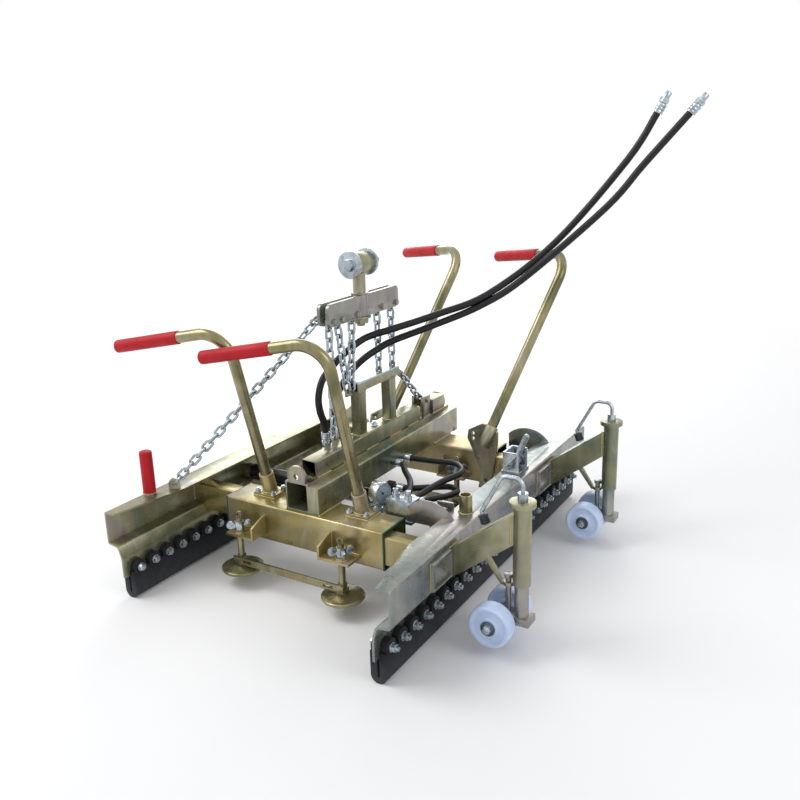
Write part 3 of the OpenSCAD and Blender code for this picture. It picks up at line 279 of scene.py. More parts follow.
gold_sheet = passivated("yellow_passivated_sheet", [
    (0.24, "#7b7a64"), (0.38, "#8f8458"), (0.47, "#a0925f"), (0.56, "#b3a473"),
    (0.66, "#9f9276"), (0.8, "#84896a")], 0.3, 5.0)
olive_sheet = passivated("olive_passivated_sheet", [
    (0.24, "#66746c"), (0.38, "#757d69"), (0.47, "#88886a"), (0.56, "#9a967a"),
    (0.66, "#8d8680"), (0.8, "#728474")], 0.29, 4.5)
gold_tube = passivated("yellow_passivated_tube", [
    (0.25, "#5f6148"), (0.42, "#736f4e"), (0.52, "#87805a"), (0.62, "#989070"), (0.78, "#6f755a")], 0.24, 7.0)
silver_sheet = passivated("thin_film_sheet", [
    (0.25, "#6b797c"), (0.42, "#7d8785"), (0.52, "#8f918a"), (0.62, "#918a8b"), (0.78, "#75847c")], 0.27, 4.5)
print("passivated finishes:", gold_sheet.name, olive_sheet.name, gold_tube.name, silver_sheet.name)

# %% [markdown]
# Bright zinc: chain, bolts, cranks and nuts are plated and left clear. The film is thin and bluish, and
# small parts are tumbled in a barrel, which leaves a fine spangle of dull and bright grains.

# %% Bright zinc
def bright_zinc(name, light, shade, roughness):
    """Clear zinc plate: patches between two greys, and a spangle of dull and bright grains."""
    finish, shader = new_finish(name, Metallic=1.0)
    place = add(finish, "ShaderNodeTexCoord").outputs["Object"]
    patches = noise(finish, place, 45.0, 4.0, 0.6, 0.4)
    tone = ramp(finish, patches.outputs["Fac"], [(0.3, shade), (0.7, light)])
    finish.node_tree.links.new(tone.outputs["Color"], shader.inputs["Base Color"])
    spangle = add(finish, "ShaderNodeTexVoronoi", feeds={"Vector": place, "Scale": 260.0})
    gloss = remap(finish, spangle.outputs["Distance"], (0.0, 1.0), (roughness - 0.06, roughness + 0.12))
    finish.node_tree.links.new(gloss, shader.inputs["Roughness"])
    bumped(finish, shader, patches.outputs["Fac"], 0.12, 0.0006)
    return finish


clear_zinc = bright_zinc("clear_zinc_plate", "#c2cbd2", "#8e989f", 0.24)
roof_zinc = bright_zinc("brushed_zinc_bar", "#c6d5df", "#9fb0bd", 0.34)
dull_steel = bright_zinc("oiled_steel", "#6b7680", "#3d464e", 0.36)
print("zinc finishes:", clear_zinc.name, roof_zinc.name, dull_steel.name)

# %% [markdown]
# Rubber and plastics are not metals. Vulcanised rubber is nearly black and dull, with pale dust low down.
# The grips are dipped or moulded soft vinyl with a leathery skin. The wheels are cast polyamide, a hard
# white plastic that looks bluish in the open air and has a slight waxy gloss.

# %% Rubber, vinyl and cast polyamide
def moulded(name, colour, shade, roughness, grain, lift, dust=None, **surface):
    """A moulded skin: one colour that drifts a little, and a grain of a given count per metre."""
    finish, shader = new_finish(name, **surface)
    place = add(finish, "ShaderNodeTexCoord").outputs["Object"]
    drift = noise(finish, place, 18.0, 4.0, 0.6, 0.2)
    tone = ramp(finish, drift.outputs["Fac"], [(0.32, shade), (0.68, colour)])
    last = tone.outputs["Color"]
    if dust:
        height = add(finish, "ShaderNodeSeparateXYZ", feeds={"Vector": place})
        low = remap(finish, height.outputs["Z"], (0.0, 0.075), (0.6, 0.06))
        specks = noise(finish, place, 70.0, 6.0, 0.7)
        share = add(finish, "ShaderNodeMath", {"operation": "MULTIPLY"}, {0: low, 1: specks.outputs["Fac"]})
        last = mixed_colour(finish, share.outputs[0], last, seen(dust))
    finish.node_tree.links.new(last, shader.inputs["Base Color"])
    rough = remap(finish, drift.outputs["Fac"], (0.3, 0.7), (roughness + 0.06, roughness - 0.06))
    finish.node_tree.links.new(rough, shader.inputs["Roughness"])
    skin = noise(finish, place, grain, 2.0, 0.5)
    bumped(finish, shader, skin.outputs["Fac"], 0.35, lift)
    return finish


lip_rubber = moulded("vulcanised_rubber", "#15171a", "#0d0e11", 0.74, 220.0, 0.0012, dust="#64676c",
                     Specular_IOR_Level=0.3)
hose_rubber = moulded("hose_rubber", "#131418", "#0a0b0d", 0.42, 420.0, 0.0005, Specular_IOR_Level=0.35)
red_vinyl = moulded("red_soft_vinyl", "#bd1422", "#a90f1c", 0.55, 360.0, 0.0006, Specular_IOR_Level=0.3)
wheel_nylon = moulded("cast_polyamide", "#cfdffb", "#bdd0f4", 0.38, 120.0, 0.0004)
crank_plastic = moulded("black_thermoplastic", "#2b3138", "#1b1f24", 0.45, 260.0, 0.0005)
gloss_enamel = moulded("black_enamel", "#202326", "#131517", 0.24, 60.0, 0.0004)
slide_plastic = moulded("green_slide_plastic", "#12503f", "#0c3b2e", 0.42, 150.0, 0.0004)
print("moulded finishes:", lip_rubber.name, red_vinyl.name, wheel_nylon.name)

# %% [markdown]
# Hydraulic hose: two long hoses feed the clamp from above, and three short ones join the valve block to the
# ram and to the long beam. Each is steel-braided rubber about 20 mm thick, so it keeps wide bends. A curve
# with a round bevel is the natural way to draw a hose, and it follows the same route as the solid one.

# %% Hose routes
FEED_ROUTES = {
    "a": [(-40, -157, 396), (-40.2, -158.9, 420), (-42, -174, 460), (-42, -178, 502), (-42, -157, 545),
          (-38, -117, 573), (-27, -70, 602), (0, -18, 634), (27, 12, 648), (60, 40, 658), (165, 139, 694),
          (280, 229, 744), (430, 356, 880), (595, 465, 1102), (660, 500, 1223)],
    "b": [(-40, -115, 396), (-40, -113.7, 432), (-40, -103, 475), (-36, -72, 511), (-27, -35, 545),
          (0, -4, 579), (27, 36, 603), (60, 66, 623), (160, 141, 664), (262, 213, 711), (365, 281, 784),
          (557, 404, 974), (645, 452, 1090), (748, 498, 1219)],
}
SHORT_ROUTES = {
    "beam_front": [(209, -161, 240), (207, -128, 243), (175, -60, 250), (128, -8, 256), (92, 37, 256),
                   (70, 40, 256)],
    "beam_rear": [(233, -161, 240), (235, -120, 242), (254, -20, 250), (278, 55, 256), (232, 108, 256),
                  (150, 98, 256), (92, 91, 256), (70, 90, 256)],
    "ram": [(257, -161, 240), (262, -120, 236), (288, -60, 228), (296, -8, 224), (262, 14, 224),
            (215, -18, 225), (175, -48, 226), (148, -59, 226), (134, -60, 226)],
}
FEED_HOSE_R, SHORT_HOSE_R, HOSE_STEPS = 0.010, 0.009, 6


def smooth_route(route, steps):
    """Points on the smooth curve through a route, the same curve as in the part's source."""
    p = [on_drawing(*q) for q in route]
    last = len(p) - 1
    points = []
    for i in range(last):
        a, b, c, d = p[max(i - 1, 0)], p[i], p[i + 1], p[min(i + 2, last)]
        for j in range(steps):
            s = j / steps
            points.append(0.5 * (2 * b + (c - a) * s + (2 * a - 5 * b + 4 * c - d) * s * s
                                 + (3 * b - a - 3 * c + d) * s ** 3))
    return points + [p[last]]


def hose(name, route, radius):
    """A hose drawn as a curve with a round bevel. Returns it with its length in metres."""
    points = smooth_route(route, HOSE_STEPS)
    line = bpy.data.curves.new(name, "CURVE")
    line.dimensions = "3D"
    line.bevel_depth = radius
    line.bevel_resolution = 5
    line.use_fill_caps = True
    spline = line.splines.new("POLY")
    spline.points.add(len(points) - 1)
    for knot, q in zip(spline.points, points):
        knot.co = (*q, 1)
    spline.use_smooth = True
    piece = bpy.data.objects.new(name, line)
    bpy.context.scene.collection.objects.link(piece)
    line.materials.append(hose_rubber)
    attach(piece, "frame")
    return piece, sum((q - p).length for p, q in zip(points, points[1:]))


for key, route in FEED_ROUTES.items():
    hose("feed_hose_" + key, route, FEED_HOSE_R)
for key, route in SHORT_ROUTES.items():
    hose("short_hose_" + key, route, SHORT_HOSE_R)
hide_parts("feed_hoses")
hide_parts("hoses")

# %% [markdown]
# Turned and pressed parts are grown as a lathe hand would think of them: start from a disc, then extrude it
# and scale it from one width to the next. The same function makes the crimped sleeves of the hoses and the
# grips.

# %% Growing a turned part
def turned(name, widths, around=32):
    """Grows a round part up the Z axis. widths lists (radius, height) in millimetres from the lowest ring."""
    r0, z0 = widths[0]
    bpy.ops.object.select_all(action="DESELECT")
    bpy.ops.mesh.primitive_circle_add(vertices=around, radius=r0 * 0.001, fill_type="NGON",
                                      location=(0, 0, 0))
    piece = bpy.context.object
    piece.name = name
    bpy.ops.object.mode_set(mode="EDIT")
    bpy.ops.mesh.select_all(action="SELECT")
    bpy.ops.transform.translate(value=(0, 0, z0 * 0.001))
    r, z = r0, z0
    for r1, z1 in widths[1:]:
        bpy.ops.mesh.extrude_region_move(TRANSFORM_OT_translate={"value": (0, 0, (z1 - z) * 0.001)})
        if r1 != r:
            bpy.ops.transform.resize(value=(r1 / r, r1 / r, 1), center_override=(0, 0, z1 * 0.001))
        r, z = r1, z1
    bpy.ops.mesh.select_all(action="SELECT")
    bpy.ops.mesh.remove_doubles(threshold=0.00001)
    bpy.ops.mesh.normals_make_consistent(inside=False)
    bpy.ops.object.mode_set(mode="OBJECT")
    bpy.ops.object.shade_smooth_by_angle(angle=math.radians(40))
    return piece


CRIMP = [(11.2, 0), (12.2, 1), (12.2, 6), (11.5, 6.8), (11.5, 7.6), (12.2, 8.4), (12.2, 13), (11.5, 13.8),
         (11.5, 14.6), (12.2, 15.4), (12.2, 20.6), (11.4, 22)]
sleeve = turned("sleeve", CRIMP, 28)
print("sleeve has", len(sleeve.data.polygons), "faces")

# %% [markdown]
# A crimped sleeve is steel that was squeezed hard on the rubber, and its rings catch the light. The upper
# ends of the feed hoses carry a sleeve, a hexagon nut and a short spigot that plugs into an oil supply.

# %% Hose ends
HOSE_END = [(13.4, 0), (13.9, 1), (13.9, 7), (13.1, 8), (13.1, 9), (13.9, 10), (13.9, 16), (13.1, 17),
            (13.1, 18), (13.9, 19), (13.9, 26), (12.6, 28), (10, 29), (10, 46), (9, 47), (9, 60), (7.6, 62)]
SLEEVE_LONG = 0.022
for key in FEED_ROUTES:
    points = smooth_route(FEED_ROUTES[key], HOSE_STEPS)
    start, end = points[0], points[-1]
    low = copied(sleeve, aimed(start + Vector((0, 0, -SLEEVE_LONG)), start + Vector((0, 0, 1))))
    settle(low, "feed_sleeve_" + key, "frame", clear_zinc)
    top = turned("feed_end_" + key, HOSE_END, 28)
    bpy.ops.object.select_all(action="DESELECT")
    bpy.ops.mesh.primitive_cylinder_add(vertices=6, radius=0.0139, depth=0.013, location=(0, 0, 0.036))
    nut = bpy.context.object
    bevel = nut.modifiers.new("chamfer", "BEVEL")
    bevel.width = 0.001
    bevel.segments = 2
    apply_modifiers(nut)
    top.select_set(True)
    bpy.context.view_layer.objects.active = top
    bpy.ops.object.join()
    top.matrix_world = aimed(end, end + (end - points[-2]))
    settle(top, "feed_end_" + key, "frame", clear_zinc)
    if key == "a":
        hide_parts("feed_ends")
for key in SHORT_ROUTES:
    points = smooth_route(SHORT_ROUTES[key], HOSE_STEPS)
    for tag, p, q in (("start", points[0], points[3]), ("end", points[-1], points[-4])):
        collar = copied(sleeve, aimed(p, q))
        settle(collar, f"short_sleeve_{key}_{tag}", "frame", clear_zinc)
bpy.data.objects.remove(sleeve)
print("hose ends fitted")

# %% [markdown]
# The solids have knife-sharp edges, because a drawing has them. Real sheet is folded over a tool and has a
# round bend, and cut edges are deburred. So each solid is copied, its loose triangles are merged into whole
# faces, the long folds get a wide bevel, and every other sharp edge gets a narrow one. The copy then stands
# for the solid.

# %% Rounding folds and edges
# a face narrower than this, in metres, is a cut edge or a tube's wall, not a side of a fold
WIDEST_CUT = 0.011


def long_folds(piece, axis, shortest, widest_cut):
    """Selects the sharp edges along one axis between two wide faces, which are the folds of a sheet."""
    mesh = piece.data
    beside = {}
    for face in mesh.polygons:
        for key in face.edge_keys:
            beside.setdefault(key, []).append(face)
    found = 0
    for edge in mesh.edges:
        a, b = (mesh.vertices[i].co for i in edge.vertices)
        span = b - a
        faces = beside.get(edge.key, [])
        if span.length < shortest or abs(span.normalized()[axis]) < 0.999 or len(faces) != 2:
            continue
        if faces[0].normal.dot(faces[1].normal) > 0.98:
            continue
        if min(f.area for f in faces) / span.length < widest_cut:
            continue
        edge.select = True
        found += 1
    return found


def softened(node, name, finish, edge, folds=()):
    """A merged copy of a CAD node with rounded folds and edges, which then stands for it."""
    solid = nodes[node]
    piece = bpy.data.objects.new(name, solid.data.copy())
    bpy.context.scene.collection.objects.link(piece)
    pick_only(piece)
    bpy.ops.object.mode_set(mode="EDIT")
    bpy.ops.mesh.select_mode(type="EDGE")
    bpy.ops.mesh.select_all(action="SELECT")
    bpy.ops.mesh.remove_doubles(threshold=0.00002)
    bpy.ops.mesh.dissolve_limited(angle_limit=math.radians(0.5))
    for axis, shortest, radius in folds:
        bpy.ops.mesh.select_all(action="DESELECT")
        bpy.ops.object.mode_set(mode="OBJECT")
        found = long_folds(piece, axis, shortest * 0.001, WIDEST_CUT)
        bpy.ops.object.mode_set(mode="EDIT")
        if found:
            bpy.ops.mesh.bevel(offset=radius * 0.001, segments=4, affect="EDGES", clamp_overlap=False)
    bpy.ops.object.mode_set(mode="OBJECT")
    bpy.ops.mesh.customdata_custom_splitnormals_clear()
    rim = piece.modifiers.new("deburred", "BEVEL")
    rim.width = edge * 0.001
    rim.segments = 2
    rim.limit_method = "ANGLE"
    rim.angle_limit = math.radians(38)
    rim.use_clamp_overlap = True
    apply_modifiers(piece)
    bpy.ops.object.shade_smooth_by_angle(angle=math.radians(32))
    return settle(piece, name, solid["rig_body"], finish, [node])


print("softening ready")

# %% [markdown]
# The folded parts come first: the two crossbeam covers, the long beam, the square tube on it, the tubes
# that slide in the covers, and the two jaws with their flange, web and inward ledge.

# %% Folded parts
covers = softened("crossbeams", "crossbeam_covers", gold_sheet, 0.8, [(0, 300, 6)])
beam = softened("long_beam", "long_beam_section", olive_sheet, 0.8, [(1, 300, 5)])
square = softened("top_tube", "top_square_tube", olive_sheet, 0.8, [(1, 200, 4.5)])
softened("left_tubes", "left_slide_tubes", gold_sheet, 0.8, [(0, 200, 5)])
softened("right_tubes", "right_slide_tubes", gold_sheet, 0.8, [(0, 200, 5)])
left_sheet = softened("left_jaw", "left_jaw_sheet", olive_sheet, 0.8, [(1, 500, 6)])
right_sheet = softened("right_jaw", "right_jaw_sheet", silver_sheet, 0.8, [(1, 500, 6)])
folded = (covers, beam, square, left_sheet, right_sheet)
print("folded parts have", sum(len(p.data.polygons) for p in folded), "faces")

# %% [markdown]
# The tower is two short uprights of rectangular tube. The bar across their tops was plated apart, and shows
# the cooler grey-blue of plain zinc, so its faces take a second finish.

# %% Tower and its roof bar
tower = softened("tower", "tower_frame", olive_sheet, 0.9, [(2, 80, 3.5), (1, 150, 3.5)])
tower.data.materials.append(roof_zinc)
bar_low, bar_high = on_drawing(-16, -70, 491.5), on_drawing(16, 166, 520.5)
# the chain lugs stand on the middle of the bar and keep the first finish on their sides
LUG_HALF = 0.004
for face in tower.data.polygons:
    inside = all(bar_low[i] <= face.center[i] <= bar_high[i] for i in range(3))
    beside_lugs = abs(face.center[0] - on_drawing(0, 0, 0)[0]) > LUG_HALF
    if inside and (beside_lugs or abs(face.normal[2]) > 0.7):
        face.material_index = 1
print("roof bar faces", sum(f.material_index for f in tower.data.polygons))

# %% [markdown]
# Plates, brackets and sockets are flame cut or sawn and then welded on. Their edges are ground, which
# rounds them by about a millimetre.

# %% Plates, brackets and columns
PLATES = [
    ("rear_clevis", "rear_clevis_block", olive_sheet, 1.0),
    ("spreader", "spreader_plates", silver_sheet, 1.2),
    ("foot_brackets", "foot_brackets_cut", gold_sheet, 0.9),
    ("handle_sockets", "handle_base_plates", gold_sheet, 0.9),
    ("frame_bolts", "frame_bolt_set", clear_zinc, 0.5),
    ("rear_plates", "rear_handle_plates", olive_sheet, 0.9),
    ("wheel_arms", "wheel_arm_boxes", olive_sheet, 1.0),
    ("leg_front", "leg_front_tube", silver_sheet, 1.0),
    ("leg_rear", "leg_rear_tube", silver_sheet, 1.0),
    ("swivel_eye", "swivel_eye_forging", olive_sheet, 1.4),
    ("side_post", "side_post_bar", clear_zinc, 0.8),
    ("lock_bolt", "lock_bolt_set", clear_zinc, 0.8),
    ("left_bolts", "left_lip_bolts", clear_zinc, 0.7),
    ("right_bolts", "right_lip_bolts", clear_zinc, 0.7),
    ("valve_block", "valve_block_body", clear_zinc, 1.0),
    ("couplings", "quick_couplings", clear_zinc, 0.9),
    ("pipe_socket", "pipe_socket_tube", gold_tube, 0.9),
    ("latch_bracket", "latch_bracket_plate", clear_zinc, 0.9),
    ("latch_lever", "latch_lever_bar", clear_zinc, 0.9),
    ("piston_rod", "ram_piston_rod", clear_zinc, 0.8),
    ("cylinder_barrel", "ram_barrel", gloss_enamel, 1.0),
    ("swivel_pin", "swivel_cross_pin", clear_zinc, 1.2),
    ("feet_front", "feet_front_discs", gold_tube, 1.0),
    ("feet_rear", "feet_rear_discs", gold_tube, 1.0),
    ("axle_front", "axle_front_caps", dull_steel, 1.2),
    ("axle_rear", "axle_rear_caps", dull_steel, 1.2),
    ("knob_a", "star_knob_a", clear_zinc, 2.2),
    ("knob_b", "star_knob_b", clear_zinc, 2.2),
    ("knob_c", "star_knob_c", clear_zinc, 2.2),
    ("knob_d", "star_knob_d", clear_zinc, 2.2),
    ("left_rubber", "left_rubber_lip", lip_rubber, 2.4),
    ("right_rubber", "right_rubber_lip", lip_rubber, 2.4),
]
plates = {node: softened(node, name, finish, edge) for node, name, finish, edge in PLATES}
# the end washers of the axles begin this far from the column's middle, in metres
WASHER_OUT = 0.0777
for end, y in COLUMN_Y.items():
    axle = plates["axle_" + end].data
    axle.materials.append(clear_zinc)
    for face in axle.polygons:
        if abs(face.center[1] - on_drawing(0, y, 0)[1]) > WASHER_OUT:
            face.material_index = 1
print(len(plates), "plates and small parts softened")

# %% [markdown]
# Some solids already have their true shape: chain links, bent handle tubes and cranks are round all over.
# They keep their own mesh and only get a finish.

# %% Finishes on the solids that stay
STAY = {
    "left_chain": clear_zinc, "front_chains": clear_zinc, "rear_chains": clear_zinc,
    "handle_tubes": gold_tube, "crank_front": clear_zinc, "crank_rear": clear_zinc,
    "slide_liners": slide_plastic,
}
for node, finish in STAY.items():
    solid = nodes[node]
    if not solid.data.materials:
        solid.data.materials.append(finish)
    for place in solid.material_slots:
        place.material = finish
print("kept solids:", ", ".join(STAY))

# %% [markdown]
# The wheels are cast in one piece with a recessed web between hub and tread. Growing the outline out from
# the hub and back again draws the whole casting at once. The bore is then inset on both sides and bridged
# through.

# %% Wheels
CASTING = [(19.5, -21), (21.5, -20.6), (24, -17), (38, -16.6), (40.5, -18.5), (43, -20.6), (47, -21),
           (50, -19.6), (51.6, -17), (52, -13), (52, 13), (51.6, 17), (50, 19.6), (47, 21), (43, 20.6),
           (40.5, 18.5), (38, 16.6), (24, 17), (21.5, 20.6), (19.5, 21)]
HUB_R, BORE_R = 0.0195, 0.0082
casting = turned("casting", CASTING, 72)
pick_only(casting)
bpy.ops.object.mode_set(mode="EDIT")
bpy.ops.mesh.select_mode(type="FACE")
bpy.ops.mesh.select_all(action="DESELECT")
bpy.ops.object.mode_set(mode="OBJECT")
for face in casting.data.polygons:
    face.select = len(face.vertices) > 20
bpy.ops.object.mode_set(mode="EDIT")
bpy.ops.mesh.inset(thickness=HUB_R - BORE_R, use_individual=True)
bpy.ops.mesh.bridge_edge_loops()
bpy.ops.object.mode_set(mode="OBJECT")
bpy.ops.object.shade_smooth_by_angle(angle=math.radians(35))
AXLE_X, AXLE_Z, WHEEL_OUT = 573, 83, 52
WHEELS = {"a": ("front", -1), "b": ("front", 1), "c": ("rear", -1), "d": ("rear", 1)}
for key, (end, side) in WHEELS.items():
    place = placed_at(AXLE_X, COLUMN_Y[end] + side * WHEEL_OUT, AXLE_Z)
    wheel = copied(casting, place @ Matrix.Rotation(math.radians(90), 4, "X"))
    settle(wheel, "wheel_cast_" + key, "roller_" + key, wheel_nylon, ["wheel_" + key])
bpy.data.objects.remove(casting)
print("four wheels on their axles")

# %% [markdown]
# The handle grips are soft vinyl sleeves. They are pushed over the last 215 mm of each tube, so a grip is
# modelled once along the Z axis, and four copies are laid on the four handles with the same turns that bend
# the tubes.

# %% Handle grips
BEND, TURN, REACH, GRIP = 75, math.radians(98), 365, 215
corner_cut = BEND * math.tan(TURN / 2)


def grip_place(reach_up):
    """Where a grip begins on a handle of the given length, seen from the handle's foot."""
    straight = reach_up - corner_cut
    after_bend = Vector((-BEND + BEND * math.cos(TURN), 0, straight + BEND * math.sin(TURN))) * 0.001
    along = Matrix.Translation((0, 0, (REACH - corner_cut - GRIP) * 0.001))
    return Matrix.Translation(after_bend) @ Matrix.Rotation(-TURN, 4, "Y") @ along


GRIP_SLEEVE = [(16.4, 0), (17.6, 0.8), (18, 2.4), (18, 60), (17.9, 110), (18, 160), (18, 209), (17.4, 212.6),
               (15.4, 214.6), (11, 215), (7, 214.4), (4, 213)]
grip = turned("grip", GRIP_SLEEVE, 40)
HAND_RISE, REAR_RISE, HAND_TURN = 505, 590, math.radians(10)
hand_twist = Matrix.Rotation(HAND_LEAN, 4, "X") @ Matrix.Rotation(HAND_TURN, 4, "Z") @ grip_place(HAND_RISE)
rear_twist = Matrix.Rotation(REAR_TURN, 4, "Z") @ Matrix.Rotation(REAR_LEAN, 4, "X") @ grip_place(REAR_RISE)
HANDLES = {
    "front_left": placed_at(HAND_XS[0], HAND_Y, HAND_FOOT_Z) @ hand_twist,
    "front_right": placed_at(HAND_XS[1], HAND_Y, HAND_FOOT_Z) @ hand_twist,
    "rear_right": placed_at(REAR_XS[0], REAR_Y, REAR_FOOT_Z) @ rear_twist,
    "rear_left": placed_at(REAR_XS[1], REAR_Y, REAR_FOOT_Z) @ rear_twist,
}
for key, place in HANDLES.items():
    settle(copied(grip, place), "grip_" + key, "frame", red_vinyl)
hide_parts("handle_grips")
bpy.data.objects.remove(grip)
POST_SLEEVE = [(16.8, 0), (18, 1), (18, 60), (17.8, 117), (16.6, 120), (13.5, 121.6), (8, 122)]
post_grip = turned("post_grip", POST_SLEEVE, 40)
post_grip.matrix_world = placed_at(*GRIP_POST_AT, 257)
settle(post_grip, "side_post_grip", "frame", red_vinyl, ["side_grip"])
print("grips:", ", ".join(HANDLES), "and the side post")

# %% [markdown]
# Each winder ends in a small black knob that spins on the bent rod. Its solid gives the place, and the
# turned knob gets a waist and round ends.

# %% Winder knobs
# the rod bends from upright to level, runs sideways, and bends down again, each figure as in the source
ROD_BEND, ROD_RUN, ROD_DROP, ROD_TOP, ROD_ARM = 18, 20, 20, 52, 98
ROD_TURN, KNOB_TURN, WINDER_Z = math.radians(62), math.radians(160), 384
bend_x = -ROD_BEND - ROD_RUN - ROD_DROP * math.sin(ROD_TURN)
bend_z = ROD_TOP - ROD_DROP + ROD_DROP * math.cos(ROD_TURN)
end_x, end_z = bend_x - ROD_ARM * math.cos(ROD_TURN), bend_z - ROD_ARM * math.sin(ROD_TURN)
KNOB = [(9.5, 0), (11.4, 0.8), (12, 2.5), (11.5, 8), (11.3, 12), (11.6, 17), (12, 20.5), (11.2, 23),
        (8.5, 24)]
knob = turned("knob", KNOB, 32)
for key, y in COLUMN_Y.items():
    place = (placed_at(COLUMN_X + end_x, y, WINDER_Z + end_z) @ Matrix.Rotation(KNOB_TURN, 4, "Y")
             @ Matrix.Translation((0, 0, 0.007)))
    settle(copied(knob, place), "winder_knob_" + key, "winder_" + key, crank_plastic,
           [f"crank_{key}_grip"])
bpy.data.objects.remove(knob)
print("winder knobs fitted")

# %% [markdown]
# The pressure gauge is a pressed steel can with a rolled bezel, a white dial behind glass, and a thin
# pointer. Its dial has plain ticks and nothing else.

# %% Gauge finishes
dial_white = moulded("dial_enamel", "#eef0ee", "#e2e5e4", 0.5, 60.0, 0.0001)
dial_ink = moulded("dial_ink", "#16181b", "#101214", 0.5, 60.0, 0.0001)
gauge_glass, glass_surface = new_finish("gauge_glass", Roughness=0.04, IOR=1.5)
glass_surface.inputs["Transmission Weight"].default_value = 1.0
glass_surface.inputs["Base Color"].default_value = seen("#dfe9f2")
can_steel = bright_zinc("pressed_steel_can", "#e6e8ea", "#c6cacc", 0.2)
print("gauge finishes ready")

# %% Gauge
GAUGE_TURN, POINTER_TURN = math.radians(80), math.radians(38)
gauge_place = (placed_at(*GAUGE_AT, 267) @ Matrix.Rotation(GAUGE_TURN, 4, "Z")
               @ Matrix.Rotation(math.radians(90), 4, "X"))
GAUGE_CAN = [(26, -14), (29, -13.4), (30.4, -11.5), (30.4, 8), (31, 8.6), (31, 14.6), (30.4, 15.7),
             (29.2, 16), (28.2, 15.6), (27.9, 14.4), (27.9, 12.0)]
can = turned("can", GAUGE_CAN, 64)
can.matrix_world = gauge_place
settle(can, "gauge_can", "frame", can_steel, ["gauge"])
stem = turned("stem", [(9, -47), (9, -41), (6, -40), (6, -33), (8, -32), (8, -28)], 24)
stem.matrix_world = placed_at(*GAUGE_AT, 265)
settle(stem, "gauge_stem", "frame", clear_zinc)
dial = turned("dial", [(27.6, 12.1), (27.6, 12.5)], 64)
dial.matrix_world = gauge_place
settle(dial, "gauge_dial", "frame", dial_white, ["gauge_face"])
bpy.ops.object.select_all(action="DESELECT")
bpy.ops.mesh.primitive_cube_add(size=1, location=(0, 0.0222, 0.01262), scale=(0.0011, 0.0052, 0.0003))
ticks = bpy.context.object
bpy.ops.object.transform_apply(location=True, rotation=True, scale=True)
bpy.ops.object.mode_set(mode="EDIT")
bpy.ops.mesh.select_all(action="SELECT")
bpy.ops.mesh.spin(steps=9, dupli=True, angle=math.radians(135), center=(0, 0, 0), axis=(0, 0, 1),
                  use_auto_merge=False)
bpy.ops.mesh.select_all(action="SELECT")
bpy.ops.object.mode_set(mode="OBJECT")
ticks.modifiers.new("other_half", "MIRROR")
apply_modifiers(ticks)
ticks.matrix_world = gauge_place
settle(ticks, "gauge_ticks", "frame", dial_ink)
pointer = turned("pointer", [(3.4, 12.6), (3.4, 13.6)], 24)
bpy.ops.object.select_all(action="DESELECT")
bpy.ops.mesh.primitive_cone_add(vertices=4, radius1=0.0016, radius2=0.0003, depth=0.024,
                                location=(0, 0.008, 0.0131), rotation=(math.radians(-90), 0, 0))
needle = bpy.context.object
needle.scale = (1, 0.4, 1)
bpy.ops.object.transform_apply(location=False, rotation=False, scale=True)
pointer.select_set(True)
bpy.context.view_layer.objects.active = pointer
bpy.ops.object.join()
pointer.matrix_world = gauge_place @ Matrix.Rotation(POINTER_TURN, 4, "Z")
settle(pointer, "gauge_pointer", "frame", dial_ink)
pane = turned("pane", [(27.7, 14.2), (27.7, 15.0)], 64)
pane.matrix_world = gauge_place
settle(pane, "gauge_pane", "frame", gauge_glass)
print("gauge assembled")

# %% [markdown]
# Most of what doesn't move is welded. A hand-laid bead looks like a row of overlapping coins, because
# the pool is moved on in small steps. One drop is modelled, and an array repeats it along a seam, or a spin
# repeats it round a tube. The beads are joined, one piece for each body.

# %% Weld beads
def bead(a, b, size):
    """A straight weld bead from a to b on the drawing. size is the throat in millimetres."""
    start, end = on_drawing(*a), on_drawing(*b)
    pitch = size * 0.00075
    count = max(2, int((end - start).length / pitch))
    bpy.ops.object.select_all(action="DESELECT")
    bpy.ops.mesh.primitive_ico_sphere_add(subdivisions=2, radius=size * 0.001, location=start)
    drop = bpy.context.object
    row = drop.modifiers.new("row", "ARRAY")
    row.use_relative_offset = False
    row.use_constant_offset = True
    row.constant_offset_displace = (end - start) / count
    row.count = count + 1
    apply_modifiers(drop)
    return drop


def ring_bead(place, radius, size):
    """A weld bead round a tube. place is the matrix of the tube's axis at the seam, radius in millimetres."""
    count = max(8, int(2 * math.pi * radius / (size * 0.75)))
    bpy.ops.object.select_all(action="DESELECT")
    bpy.ops.mesh.primitive_ico_sphere_add(subdivisions=2, radius=size * 0.001,
                                          location=(radius * 0.001, 0, 0))
    drop = bpy.context.object
    bpy.ops.object.transform_apply(location=True, rotation=True, scale=True)
    bpy.ops.object.mode_set(mode="EDIT")
    bpy.ops.mesh.select_all(action="SELECT")
    bpy.ops.mesh.spin(steps=count, dupli=True, angle=2 * math.pi, center=(0, 0, 0), axis=(0, 0, 1),
                      use_auto_merge=False)
    bpy.ops.object.mode_set(mode="OBJECT")
    drop.matrix_world = place
    pick_only(drop)
    bpy.ops.object.transform_apply(location=True, rotation=True, scale=True)
    return drop


def join_beads(name, beads, body):
    """Joins weld beads into one piece that rides on a body."""
    pick_only(beads[0])
    for b in beads[1:]:
        b.select_set(True)
    if len(beads) > 1:
        bpy.ops.object.join()
    whole = bpy.context.view_layer.objects.active
    bpy.ops.object.shade_smooth()
    return settle(whole, name, body, gold_sheet)


print("weld tools ready")

# %% [markdown]
# The seams are listed as a welder would walk them: the long beam on the crossbeams, the square tube on the
# long beam, the tower's feet and shoulders, the brackets, the sockets, and then the seams of each jaw.

